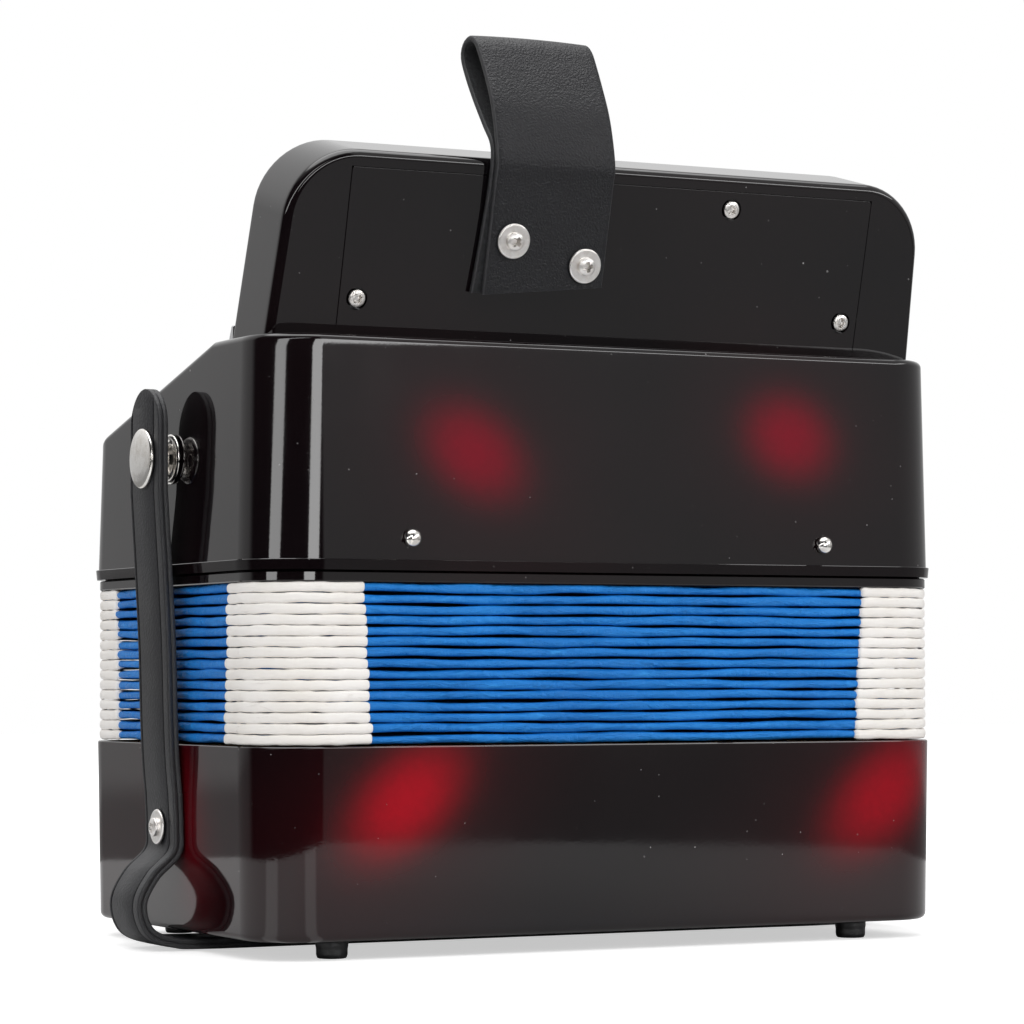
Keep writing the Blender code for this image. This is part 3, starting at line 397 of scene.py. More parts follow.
def gloss_black():
    """Polished black plastic with airbrushed red spots, specks of dust and faint smears."""
    g, place = finish("gloss_black", (0.0035, 0.0028, 0.0032), 0.04)
    brown = g.spread(g.noise(place, 18.0, 2.0), 0.35, 0.75)
    colour = g.mix(brown, (0.0026, 0.0018, 0.0024), (0.0060, 0.0036, 0.0042))
    spray = g.spread(g.noise(place, 420.0, 2.0, 0.6), 0.3, 0.7, 0.93, 1.05)
    painted = 0.0
    for centre, along, half_long, half_short, red in BLOBS:
        spot = g.times(blob_mask(g, centre, along, half_long, half_short), spray, True)
        colour = g.mix(spot, colour, red)
        painted = g.math("MAXIMUM", painted, spot)
    dust = 0.0
    for scale, largest, share in ((170.0, 0.050, 0.10), (420.0, 0.070, 0.50)):
        cell = g.add("TexVoronoi", {"Vector": place, "Scale": scale}).outputs
        pick = g.add("SeparateColor", {0: cell["Color"]}).outputs
        size = g.spread(pick[0], share, 1.0, 0.0, largest)
        speck = g.times(g.math("LESS_THAN", cell["Distance"], size), pick[1])
        dust = g.plus(dust, speck, True)
    dust = g.times(dust, g.spread(g.noise(place, 24.0, 3.0), 0.40, 0.60, 0.30, 1.0))
    g.colour(g.mix(dust, colour, (0.32, 0.31, 0.31)))
    smear = g.spread(g.noise(place, 30.0, 4.0, 0.6), 0.35, 0.8, 0.03, 0.085)
    g.rough(g.plus(smear, g.times(dust, 0.4)))
    g.shine(g.spread(painted, 0.0, 1.0, 0.5, 0.28))
    peel = g.bump(g.noise(place, 1300.0, 1.0), 0.0000012)
    g.relief(g.bump(g.noise(place, 60.0, 1.0), 0.000006, 1.0, peel))
    return g.material


def blue_cloth():
    """Coated bookcloth: a fine weave and long creases, with a painted highlight in lighter blue along
    the crease ridges.
    """
    g, place = finish("blue_cloth", (0.010, 0.180, 0.56), 0.5)
    creases = g.noise(g.stretched(place, (1, 1, 3.0)), 110.0, 4.0, 0.62, 0.7)
    pleats = g.noise(g.stretched(place, (1.6, 1.6, 0.5)), 260.0, 3.0, 0.6, 0.5)
    tone = g.noise(place, 40.0, 3.0)
    colour = g.mix(g.spread(tone, 0.3, 0.7), (0.006, 0.150, 0.49), (0.011, 0.205, 0.62))
    # painted highlight: a lighter blue along the crease ridges, where light catches the folds
    crease_highlight = g.spread(creases, 0.58, 0.80)
    g.colour(g.mix(crease_highlight, colour, (0.035, 0.29, 0.74)))
    g.rough(g.spread(creases, 0.3, 0.7, 0.42, 0.62))
    g.shine(0.32)
    weave = g.voronoi(place, 3200.0)
    first = g.bump(weave, 0.00004, 0.5)
    second = g.bump(pleats, 0.0005, 0.9, first)
    g.relief(g.bump(creases, 0.0015, 1.0, second))
    return g.material


def shaded_card():
    """The folded sheets between the fold edges: the same cloth, darkened as painted shade for the gaps
    between the folds.
    """
    g, place = finish("bellows_card_painted_shade", (0.010, 0.075, 0.30), 0.5)
    tone = g.noise(place, 120.0, 4.0, 0.6)
    # painted shade: deeper blues than the fold cloth, for the shaded gaps between folds
    g.colour(g.mix(g.spread(tone, 0.3, 0.7), (0.003, 0.045, 0.17), (0.005, 0.07, 0.25)))
    g.relief(g.bump(g.voronoi(place, 2600.0), 0.00004, 0.6))
    return g.material


def white_leather():
    """Thin skived leather over the bellows corners, with pores and stretch lines."""
    g, place = finish("white_leather", (0.84, 0.81, 0.78), 0.5)
    soft = g.noise(place, 60.0, 4.0, 0.6)
    pull = g.noise(g.stretched(place, (1, 1, 5.0)), 130.0, 4.0, 0.65, 0.6)
    colour = g.mix(g.spread(soft, 0.3, 0.7), (0.80, 0.765, 0.72), (0.88, 0.855, 0.83))
    colour = g.mix(g.spread(pull, 0.62, 0.85), colour, (0.62, 0.58, 0.55))
    g.colour(colour)
    g.rough(g.spread(pull, 0.3, 0.7, 0.42, 0.62))
    pores = g.voronoi(place, 2400.0)
    first = g.bump(pores, 0.00005, 0.4)
    g.relief(g.bump(pull, 0.00035, 0.6, first))
    return g.material


def black_leather(name, pebble_scale, pebble_depth, tone, shine=0.4, rub=1.9):
    """Embossed black leather: pebbles, a slow crease pattern and rubbed high spots."""
    g, place = finish(name, (tone, tone, tone * 1.2), 0.5)
    pebbles = g.voronoi(place, pebble_scale, "SMOOTH_F1")
    fine = g.noise(place, pebble_scale * 2.2, 3.0, 0.6)
    slow = g.noise(place, 70.0, 3.0)
    rubbed = g.times(g.spread(pebbles, 0.5, 0.1), g.spread(slow, 0.4, 0.75), True)
    dark, light = (tone * 0.75, tone * 0.75, tone * 0.92), (tone, tone, tone * 1.22)
    base = g.mix(g.spread(fine, 0.3, 0.7), dark, light)
    g.colour(g.mix(rubbed, base, (tone * rub, tone * rub, tone * rub * 1.15)))
    g.rough(g.spread(slow, 0.3, 0.7, 0.42, 0.56))
    g.shine(shine)
    first = g.bump(fine, 0.00004, 0.7)
    g.relief(g.bump(g.spread(pebbles, 0.0, 0.6, 1.0, 0.0), pebble_depth, 0.8, first))
    return g.material


def leather_edge():
    """Cut and painted leather edge: a dull dark fibre."""
    g, place = finish("leather_edge", (0.020, 0.020, 0.022), 0.6)
    fibre = g.noise(place, 1500.0, 3.0, 0.7)
    g.colour(g.mix(fibre, (0.009, 0.009, 0.010), (0.040, 0.040, 0.043)))
    g.relief(g.bump(fibre, 0.0001, 0.7))
    return g.material


def suede():
    """The rough flesh side of the thumb strap."""
    g, place = finish("suede", (0.014, 0.014, 0.016), 0.95, Sheen_Weight=0.12)
    nap = g.noise(place, 1400.0, 4.0, 0.7)
    cloud = g.noise(place, 180.0, 3.0)
    base = g.mix(g.spread(nap, 0.35, 0.65), (0.005, 0.005, 0.006), (0.026, 0.027, 0.029))
    g.colour(g.mix(g.spread(cloud, 0.3, 0.7, 0.0, 0.5), base, (0.009, 0.009, 0.010)))
    g.relief(g.bump(nap, 0.00018, 0.9))
    return g.material


def nickel():
    """Bright plated steel with fine polishing lines and a few dull spots."""
    g, place = finish("nickel", (0.80, 0.77, 0.73), 0.16, 1.0)
    lines = g.noise(g.stretched(place, (1, 1, 9.0)), 700.0, 3.0, 0.6)
    dull = g.noise(place, 240.0, 4.0, 0.65)
    g.colour(g.mix(g.spread(dull, 0.45, 0.75), (0.84, 0.82, 0.79), (0.66, 0.62, 0.57)))
    g.rough(g.spread(dull, 0.3, 0.75, 0.10, 0.30))
    g.relief(g.bump(lines, 0.00001, 0.7))
    return g.material


def satin_nickel():
    """Tumbled nickel plating of the washers and screws: soft highlights and fine pits."""
    g, place = finish("satin_nickel", (0.84, 0.82, 0.80), 0.36, 1.0)
    pits = g.noise(place, 1500.0, 3.0, 0.6)
    dull = g.noise(place, 420.0, 3.0, 0.6)
    g.colour(g.mix(g.spread(dull, 0.40, 0.75), (0.88, 0.86, 0.84), (0.70, 0.66, 0.62)))
    g.rough(g.spread(dull, 0.3, 0.7, 0.30, 0.46))
    g.relief(g.bump(pits, 0.00002, 0.7))
    return g.material


def brushed(name, colour, stretch):
    """Rolled metal sheet or drawn wire with brushing along one way."""
    g, place = finish(name, colour, 0.3, 1.0)
    lines = g.noise(g.stretched(place, stretch), 2400.0, 3.0, 0.6)
    tarnish = g.noise(place, 45.0, 3.0)
    dark = tuple(value * 0.82 for value in colour)
    g.colour(g.mix(g.spread(tarnish, 0.35, 0.7), colour, dark))
    g.rough(g.spread(lines, 0.3, 0.7, 0.26, 0.38))
    g.relief(g.bump(lines, 0.000002, 0.8))
    return g.material


def pearl():
    """Pearl plastic: cloudy layers that shift between cream, pink and pale blue."""
    g, place = finish("pearl", (0.82, 0.81, 0.78), 0.16, Coat_Weight=0.6, Coat_Roughness=0.06)
    swirl = g.noise(place, 210.0, 3.0, 0.55, 1.6)
    second = g.noise(place, 130.0, 2.0, 0.5, 2.2)
    colour = g.mix(g.spread(swirl, 0.35, 0.65), (0.80, 0.76, 0.74), (0.86, 0.87, 0.84))
    g.colour(g.mix(g.spread(second, 0.55, 0.7, 0.0, 0.6), colour, (0.66, 0.74, 0.80)))
    g.rough(g.spread(swirl, 0.3, 0.7, 0.12, 0.26))
    g.relief(g.bump(swirl, 0.00003, 0.5))
    return g.material


def pine():
    """Planed softwood with growth lines along X."""
    g, place = finish("pine", (0.56, 0.36, 0.18), 0.6)
    stretched = g.stretched(place, (0.10, 1.0, 1.0))
    rings = g.add("TexWave", {"Vector": stretched, "Scale": 60.0, "Distortion": 5.0, "Detail": 3.0})
    fibre = g.noise(g.stretched(place, (0.05, 1, 1)), 900.0, 3.0, 0.6)
    colour = g.mix(rings.outputs["Fac"], (0.62, 0.43, 0.24), (0.40, 0.22, 0.09))
    g.colour(g.mix(g.spread(fibre, 0.4, 0.8, 0.0, 0.5), colour, (0.30, 0.17, 0.08)))
    g.relief(g.bump(fibre, 0.00008, 0.6))
    return g.material


def felt():
    """Pressed felt facing on the pallets."""
    g, place = finish("felt", (0.16, 0.03, 0.03), 0.95, Sheen_Weight=0.3)
    nap = g.noise(place, 1600.0, 4.0, 0.7)
    g.colour(g.mix(nap, (0.09, 0.012, 0.014), (0.24, 0.05, 0.05)))
    g.relief(g.bump(nap, 0.00015, 0.9))
    return g.material


def rubber():
    """Moulded rubber with patches of dust."""
    g, place = finish("rubber", (0.006, 0.006, 0.007), 0.5)
    dust = g.spread(g.noise(place, 300.0, 4.0, 0.7), 0.55, 0.85)
    g.colour(g.mix(dust, (0.005, 0.005, 0.006), (0.022, 0.022, 0.024)))
    g.relief(g.bump(g.noise(place, 1200.0, 2.0), 0.00004, 0.7))
    return g.material


def make_materials():
    """Every material by the name that the pieces use."""
    return {
        "case": gloss_black(),
        "cloth": blue_cloth(),
        # the valley card is the fold cloth darkened as painted shade
        "card": shaded_card(),
        "white": white_leather(),
        "strap": black_leather("strap_leather", 1500.0, 0.00008, 0.0115),
        "thumb": black_leather("thumb_leather", 2100.0, 0.00016, 0.0085, 0.32, 1.3),
        # painted shade: the stitched grooves get a darker, duller copy of the strap leather
        "groove": black_leather("groove_painted_shade", 1500.0, 0.00004, 0.0015, 0.10),
        "edge": leather_edge(),
        "suede": suede(),
        "nickel": nickel(),
        "satin": satin_nickel(),
        "steel": brushed("drawn_steel", (0.56, 0.56, 0.57), (0.05, 1, 1)),
        "silver": brushed("silver_sheet", (0.74, 0.74, 0.75), (0.02, 1, 1)),
        "pearl": pearl(),
        "wood": pine(),
        "felt": felt(),
        "rubber": rubber(),
    }


MATERIALS = make_materials()


# ---- mesh tools ----
def quarter(steps):
    """(cosine, sine) at even steps round a quarter turn."""
    turns = [math.pi / 2 * i / steps for i in range(steps + 1)]
    return [(math.cos(turn), math.sin(turn)) for turn in turns]


def even_normals(piece):
    """Keeps flat faces flat where they meet rounded edges."""
    modifier = piece.modifiers.new("even_normals", "WEIGHTED_NORMAL")
    modifier.keep_sharp = True


def finish_piece(name, mesh_data, looks, body, replaced=(), sharp=35.0):
    """Turns a bmesh in world coordinates into a piece that rides on a body."""
    bmesh.ops.remove_doubles(mesh_data, verts=mesh_data.verts, dist=1e-6)
    bmesh.ops.recalc_face_normals(mesh_data, faces=mesh_data.faces)
    mesh = bpy.data.meshes.new(name)
    mesh_data.to_mesh(mesh)
    mesh_data.free()
    for look in looks:
        mesh.materials.append(MATERIALS[look])
    mesh.shade_smooth()
    mesh.set_sharp_from_angle(angle=math.radians(sharp))
    piece = bpy.data.objects.new(name, mesh)
    bpy.context.scene.collection.objects.link(piece)
    if body:
        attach(piece, body)
    if replaced:
        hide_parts(*replaced)
    return piece


def skin(rows, closed_rows=False, closed_ring=True, caps=True, mesh=None, material=0):
    """Joins rows of points with quads; each row is a ring unless closed_ring is false."""
    mesh = mesh or bmesh.new()
    made = [[mesh.verts.new(point) for point in row] for row in rows]
    count = len(made[0])
    pairs = list(zip(made, made[1:]))
    if closed_rows:
        pairs.append((made[-1], made[0]))
    for lower, upper in pairs:
        for i in range(count if closed_ring else count - 1):
            j = (i + 1) % count
            face = mesh.faces.new((lower[i], lower[j], upper[j], upper[i]))
            face.material_index = material
    if caps and not closed_rows:
        for ring in (tuple(reversed(made[0])), tuple(made[-1])):
            mesh.faces.new(ring).material_index = material
    return mesh


def copy_into(mesh, other):
    """Adds a bmesh to another, and frees the first."""
    data = bpy.data.meshes.new("joined")
    other.to_mesh(data)
    other.free()
    mesh.from_mesh(data)
    bpy.data.meshes.remove(data)


def turned(profile, steps, centre, axis, mesh=None, material=0):
    """Spins (radius, height) points about an axis; a closed solid if both ends lie on it."""
    spun = bmesh.new()
    points = [spun.verts.new((radius, 0, height)) for radius, height in profile]
    edges = [spun.edges.new(pair) for pair in zip(points, points[1:])]
    about = {"cent": (0, 0, 0), "axis": (0, 0, 1)}
    bmesh.ops.spin(spun, geom=points + edges, angle=math.tau, steps=steps, **about)
    bmesh.ops.remove_doubles(spun, verts=spun.verts, dist=1e-7)
    bmesh.ops.dissolve_degenerate(spun, dist=1e-7, edges=spun.edges)
    turn = Vector(axis).to_track_quat("Z", "Y").to_matrix().to_4x4()
    bmesh.ops.transform(spun, matrix=Matrix.Translation(centre) @ turn, verts=spun.verts)
    for face in spun.faces:
        face.material_index = material
    if mesh is None:
        return spun
    copy_into(mesh, spun)
    return mesh


def rounded(points, radius, steps=4):
    """A profile with each inner corner replaced by an arc of at most this radius."""
    points = [Vector(point) for point in points]
    smooth = [points[0]]
    for before, corner, after in zip(points, points[1:], points[2:]):
        first, second = before - corner, after - corner
        if min(first.length, second.length) < 1e-7:
            continue
        reach = min(radius, first.length * 0.45, second.length * 0.45)
        start = corner + first.normalized() * reach
        end = corner + second.normalized() * reach
        for i in range(steps + 1):
            t = i / steps
            smooth.append(start * (1 - t) ** 2 + corner * 2 * t * (1 - t) + end * t * t)
    smooth.append(points[-1])
    return smooth


def box_mesh(low, high, mesh=None, bevel=0.0, material=0):
    """A box between two corners, with softened edges where a bevel is given."""
    (x0, y0, z0), (x1, y1, z1) = low, high
    corners = ((x0, y0), (x1, y0), (x1, y1), (x0, y1))
    made = skin([[Vector((x, y, z)) for x, y in corners] for z in (z0, z1)])
    bmesh.ops.recalc_face_normals(made, faces=made.faces)
    if bevel:
        bmesh.ops.bevel(made, geom=made.edges[:], offset=bevel, segments=2, affect="EDGES")
    for face in made.faces:
        face.material_index = material
    if mesh is None:
        return made
    copy_into(mesh, made)
    return mesh


def cut(piece, cutters):
    """Cuts meshes from a piece, applies the result and removes the cutters."""
    helpers = []
    for i, cutter in enumerate(cutters):
        bmesh.ops.recalc_face_normals(cutter, faces=cutter.faces)
        mesh = bpy.data.meshes.new("cutter")
        cutter.to_mesh(mesh)
        cutter.free()
        helper = bpy.data.objects.new("cutter", mesh)
        bpy.context.scene.collection.objects.link(helper)
        modifier = piece.modifiers.new(f"cut_{i}", "BOOLEAN")
        modifier.solver = "EXACT"
        modifier.operation = "DIFFERENCE"
        modifier.object = helper
        helpers.append(helper)
    bpy.context.view_layer.update()
    graph = bpy.context.evaluated_depsgraph_get()
    result = bpy.data.meshes.new_from_object(piece.evaluated_get(graph))
    piece.modifiers.clear()
    piece.data = result
    for helper in helpers:
        bpy.data.objects.remove(helper)
    piece.data.shade_smooth()
    piece.data.set_sharp_from_angle(angle=math.radians(CUT_SHARP))
    even_normals(piece)
    return piece


def smooth_path(points, per_span):
    """Catmull-Rom points through the given points."""
    ends = [points[0] * 2 - points[1]] + points + [points[-1] * 2 - points[-2]]
    path = []
    for a, b, c, d in zip(ends, ends[1:], ends[2:], ends[3:]):
        for i in range(per_span):
            t = i / per_span
            cubic = (a * 2 - b * 5 + c * 4 - d) * t**2 + (b * 3 - a - c * 3 + d) * t**3
            path.append((b * 2 + (c - a) * t + cubic) / 2)
    return path + [points[-1]]


# ---- cases ----
def outline(inset, steps=18, breaks=()):
    """The case's rounded rectangle drawn in by inset, anticlockwise, mirrored about X."""
    half_x, half_y = CASE_WIDTH / 2 - inset, CASE_DEPTH / 2 - inset
    radius = max(CORNER_RADIUS - inset, 0.001)
    middle_x, middle_y = half_x - radius, half_y - radius
    arc = [(middle_x + radius * cos, middle_y + radius * sin) for cos, sin in quarter(steps)]
    right = [(x, -y) for x, y in reversed(arc)] + [(half_x, y) for y in breaks] + arc
    return right + [(-x, y) for x, y in reversed(right)]


def flat_ring(inset, z, breaks=()):
    return [Vector((x, y, z)) for x, y in outline(inset, breaks=breaks)]


def bass_inset(z):
    """How far the bass casing's taper has drawn it in at a height."""
    return CASE_TAPER * (bass_high.z + GAP - z)


def make_bass_shell():
    """The tapered bass casing: rounded foot edge, rounded rim, open towards the bellows."""
    low, top = bass_low.z, bass_high.z
    edge, rim = 0.0016, 0.0004
    rings = []
    for cos, sin in reversed(quarter(6)):
        z = low + edge * (1 - sin)
        rings.append(flat_ring(bass_inset(z) + edge * (1 - cos), z))
    rings.append(flat_ring(bass_inset(low + 2 * edge), low + 2 * edge))
    rings.append(flat_ring(bass_inset(top - rim), top - rim))
    rings += [flat_ring(rim * (1 - cos), top - rim + rim * sin) for cos, sin in quarter(3)[1:]]
    rings.append(flat_ring(WALL, top))
    rings.append(flat_ring(bass_inset(low + WALL) + WALL, low + WALL))
    shell = finish_piece("bass_shell", skin(rings), ["case"], BASS, ["bass_case"])
    radius, flare, reach, lip = BASS_BUTTON_RADIUS + 0.0013, 0.0010, -0.012, 0.0006
    profile = [(0, reach), (radius, reach), (radius, -lip), (radius + flare, lip), (0, lip)]
    wall_y = CASE_DEPTH / 2 - bass_inset(BASS_BUTTON_Z)
    holes = []
    for name in BASS_KEYS:
        key_low, key_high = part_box(name)
        centre = ((key_low.x + key_high.x) / 2, wall_y, BASS_BUTTON_Z)
        holes.append(turned(rounded(profile, 0.0004, 3), 32, centre, (0, 1, 0)))
    return cut(shell, holes)


def top_profile(y, drop=0.0):
    """Height of the treble case's top at y: flat, sloping, then rounded into the front."""
    if y <= SLOPE_START_Y:
        return TREBLE_TOP - drop
    lowest = CASE_DEPTH / 2 - FRONT_ROUND
    tangent = lowest + FRONT_ROUND * math.sin(SLOPE_ANGLE)
    if y <= tangent:
        return TREBLE_TOP - (y - SLOPE_START_Y) * math.tan(SLOPE_ANGLE) - drop
    at_tangent = TREBLE_TOP - (tangent - SLOPE_START_Y) * math.tan(SLOPE_ANGLE)
    centre = at_tangent - FRONT_ROUND * math.cos(SLOPE_ANGLE)
    return centre + math.sqrt(max(FRONT_ROUND**2 - (y - lowest) ** 2, 0)) - drop


def ladder(mesh, row):
    """Closes a ring whose two halves mirror each other with strips across it."""
    half = len(row) // 2
    for i in range(half - 1):
        mesh.faces.new((row[i], row[i + 1], row[-2 - i], row[-1 - i]))


def make_treble_shell():
    """The treble casing: moulded lip, tapered walls, and a top that slopes to the front."""
    low = treble_low.z
    breaks = (SLOPE_START_Y - 0.004, SLOPE_START_Y, SLOPE_START_Y + 0.004, 0.0, 0.015, 0.030)

    def inset_at(z):
        return CASE_TAPER * (z - frame_low.z)

    def level(inset, z):
        return flat_ring(inset, z, breaks)

    def sloped(inset, drop):
        return [Vector((x, y, top_profile(y, drop))) for x, y in outline(inset, breaks=breaks)]

    top_inset = inset_at(TREBLE_TOP)
    edge, lip_edge, step = 0.0015, 0.00012, 0.00002
    lip_top = low + LIP_HEIGHT
    rings = [
        level(inset_at(low) + WALL, low),
        level(-LIP_PROUD + 2 * lip_edge, low),
        level(-LIP_PROUD, lip_top - lip_edge),
        level(-LIP_PROUD + lip_edge, lip_top),
        level(inset_at(lip_top) - step, lip_top + 2 * step),
        sloped(top_inset - CASE_TAPER * edge * 2, edge * 2),
    ]
    for cos, sin in quarter(7):
        inset = top_inset - CASE_TAPER * edge + edge * (1 - cos)
        rings.append(sloped(inset, edge * (1 - sin)))
    rings.append(sloped(top_inset + edge * 2, 0))
    mesh = bmesh.new()
    rows = [[mesh.verts.new(point) for point in ring] for ring in rings]
    inner = [mesh.verts.new(point) for point in sloped(top_inset + WALL, WALL)]
    for lower, upper in list(zip(rows, rows[1:])) + [(inner, rows[0])]:
        for i in range(len(lower)):
            j = (i + 1) % len(lower)
            mesh.faces.new((lower[i], lower[j], upper[j], upper[i]))
    ladder(mesh, rows[-1])
    ladder(mesh, inner)
    shell = finish_piece("treble_shell", mesh, ["case"], TREBLE, ["treble_case"])
    grille_window = box_mesh((-0.072, -0.0195, 0.110), (0.072, 0.0400, 0.150))
    lever_slot = box_mesh((-0.0625, -0.0440, 0.130), (0.0625, -0.0315, 0.150))
    return cut(shell, [grille_window, lever_slot])


def make_treble_frame():
    """The dark strip between the treble casing and the bellows, with a tongue behind both seams."""
    low, high = frame_low.z, frame_high.z
    inset, inner, edge = 0.0004, 0.0105, 0.00025
    tongue, reach = 0.0017, 0.00028
    upper = [
        (inset, high - edge),
        (inset + edge, high),
        (tongue - edge, high),
        (tongue, high + reach),
        (inner, high + reach),
    ]
    lower = [(offset, low + high - z) for offset, z in reversed(upper)]
    mesh = skin([flat_ring(offset, z) for offset, z in lower + upper], closed_rows=True)
    node = "treble_bellows_frame"
    strip = finish_piece("treble_frame_strip", mesh, ["case"], TREBLE, [node])
    even_normals(strip)


# ---- fingerboard ----
def board_section(inset, depth, steps=14):
    """The fingerboard's outline, drawn in by inset, at a depth in from its back face."""
    low = -0.008
    half_top = BOARD_HALF_WIDTH - BOARD_TAPER * BOARD_HEIGHT - inset
    half_low = BOARD_HALF_WIDTH - BOARD_TAPER * low - inset
    height = BOARD_HEIGHT - inset
    radius = BOARD_CORNER - inset
    right = [(half_low, low)]
    for cos, sin in quarter(steps):
        lean = BOARD_TAPER * (radius - radius * sin)
        right.append((half_top - radius + radius * cos + lean, height - radius + radius * sin))
    whole = right + [(-x, up) for x, up in reversed(right)]
    return [on_board(x, up, depth) for x, up in whole]


def board_block(x_low, x_high, up_low, up_high, in_low, in_high):
    """A block that leans with the fingerboard."""
    corners = ((x_low, up_low), (x_high, up_low), (x_high, up_high), (x_low, up_high))
    return skin([[on_board(x, up, depth) for x, up in corners] for depth in (in_low, in_high)])


def below_board():
    """All of the space that the treble case takes up under the fingerboard."""
    return box_mesh((-0.12, -0.10, TREBLE_TOP - 0.03), (0.12, 0.05, TREBLE_TOP + GAP))


def key_xs():
    """Where the treble keys sit along the fingerboard."""
    return [(i - (KEY_COUNT - 1) / 2) * KEY_PITCH for i in range(KEY_COUNT)]


def make_fingerboard():
    """A hollow shell with all its outer edges rounded, open below, with a hole for each button."""
    edge, thick = BOARD_EDGE, BOARD_THICKNESS
    rings = [board_section(edge * (1 - sin), edge * (1 - cos)) for cos, sin in quarter(8)]
    rings += [board_section(0, edge * 1.6), board_section(0, thick - edge * 1.6)]
    rings += [board_section(edge * (1 - cos), thick - edge * (1 - sin)) for cos, sin in quarter(8)]
    mesh = skin(rings)
    shell = finish_piece("fingerboard_shell", mesh, ["case"], TREBLE, ["fingerboard"])
    ledge, half, low = 0.003, COVER_HALF_WIDTH, -0.03
    recess = board_block(-half, half, low, COVER_TOP, -0.01, COVER_THICKNESS + GAP)
    half -= ledge
    hollow = board_block(-half, half, low, COVER_TOP - ledge, COVER_THICKNESS, thick - WALL)
    radius, flare, reach, lip = KEY_BUTTON_RADIUS + 0.0014, 0.0013, -0.006, 0.0005
    profile = [(0, reach), (radius, reach), (radius, -0.0008), (radius + flare, lip), (0, lip)]
    holes = []
    for x in key_xs():
        centre = on_board(x, KEY_BUTTON_UP + 0.0005, thick)
        holes.append(turned(rounded(profile, 0.0006, 4), 40, centre, BOARD_IN))
    return cut(shell, [recess, hollow, below_board()] + holes)


def make_cover():
    """The flat plate let into the fingerboard's back, with a hairline seam all round."""
    radius, edge, seam = 0.0006, 0.00014, 0.00012

    def section(inset, depth):
        half, high = COVER_HALF_WIDTH - seam - inset, COVER_TOP - seam - inset
        points = [(half, -0.002)]
        for cos, sin in quarter(6):
            points.append((half - radius + radius * cos, high - radius + radius * sin))
        points += [(-x, up) for x, up in reversed(points)]
        return [on_board(x, up, depth) for x, up in points]

    sections = ((edge, 0), (edge * 0.3, edge * 0.3), (0, edge), (0, COVER_THICKNESS))
    mesh = skin([section(inset, depth) for inset, depth in sections])
    node = "fingerboard_cover"
    plate = finish_piece("fingerboard_back_plate", mesh, ["case"], TREBLE, [node])
    wide, back, deep = 0.0026, -0.0005, 0.0012
    profile = [(0, back), (wide, back), (wide, deep), (0, deep)]
    dimples = [turned(profile, 28, on_board(x, up, 0), BOARD_IN) for x, up in COVER_SCREWS]
    return cut(plate, [below_board()] + dimples)


def slot_ring(x, y, half_width, length, steps=12):
    """A slot's outline with round ends, long along Y."""
    ring = []
    for end, start in ((1, 0), (-1, math.pi)):
        middle = y + end * (length / 2 - half_width)
        for i in range(steps + 1):
            angle = start + math.pi * i / steps
            ring.append((x + half_width * math.cos(angle), middle + half_width * math.sin(angle)))
    return ring


def make_grille():
    """The pressed silver sheet over the slope, with two rows of sound slots and rolled edges."""
    half_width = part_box("grille")[1].x
    clear, sheet, roll = 0.0004, 0.0009, 0.0004
    back_y, front_y, steps = SLOPE_START_Y + 0.0012, 0.0495, 28
    ys = [back_y + (front_y - back_y) * i / steps for i in range(steps + 1)]
    under = [(y, top_profile(y) + clear) for y in ys]
    over = [(y, top_profile(y) + clear + sheet) for y in reversed(ys)]
    over[-1:] = [(back_y + 0.0007, over[-1][1] + 0.0032), (back_y - 0.0002, over[-1][1] + 0.0030)]
    rolled = [(half_width - roll, 0.0), (half_width - roll * 0.3, roll * 0.3), (half_width, roll)]
    rows = []
    for x, drop in [(-x, drop) for x, drop in reversed(rolled)] + rolled:
        row = under + [(y, z - drop) for y, z in over]
        rows.append([Vector((x, y, z)) for y, z in row])
    mesh = skin(rows)
    piece = finish_piece("grille_sheet", mesh, ["silver"], TREBLE, ["grille"], sharp=25)
    slot_count, slot_pitch, slot_half, length = 12, 0.0112, 0.0027, 0.022
    cutters = []
    for row_y in (-0.0035, 0.0250):
        cutter = bmesh.new()
        for i in range(slot_count):
            ring = slot_ring((i - (slot_count - 1) / 2) * slot_pitch, row_y, slot_half, length)
            skin([[Vector((x, y, z)) for x, y in ring] for z in (0.110, 0.150)], mesh=cutter)
        cutters.append(cutter)
    return cut(piece, cutters)


# ---- bellows ----
def bellows_track(inset, spacing=0.0035, steps=14):
    """Points round the bellows as (x, y, normal x, normal y), anticlockwise and closed."""
    half_x, half_y = CASE_WIDTH / 2 - inset, CASE_DEPTH / 2 - inset
    radius = CORNER_RADIUS - inset
    track = []
    corners = ((1, -1, -90), (1, 1, 0), (-1, 1, 90), (-1, -1, 180))
    for index, (sx, sy, start) in enumerate(corners):
        centre = Vector((sx * (half_x - radius), sy * (half_y - radius)))
        for i in range(steps + 1):
            angle = math.radians(start + 90 * i / steps)
            normal = Vector((math.cos(angle), math.sin(angle)))
            track.append((*(centre + normal * radius), *normal))
        nx, ny, _ = corners[(index + 1) % 4]
        after = Vector((nx * (half_x - radius), ny * (half_y - radius)))
        first = centre + normal * radius
        last = after + normal * radius
        count = max(2, round((last - first).length / spacing))
        for i in range(1, count):
            track.append((*first.lerp(last, i / count), *normal))
    return track


def wobble(seed, length, amount, waves):
    """A smooth closed wander: a sum of sines whose phases come from the seed."""
    chance = random.Random(seed)
    terms = [(wave, chance.uniform(0, math.tau), chance.uniform(0.4, 1.0)) for wave in waves]
    total = sum(size for _, _, size in terms)

    def at(distance):
        turn = math.tau * distance / length
        height = sum(size * math.sin(wave * turn + phase) for wave, phase, size in terms)
        return amount * height / total

    return at


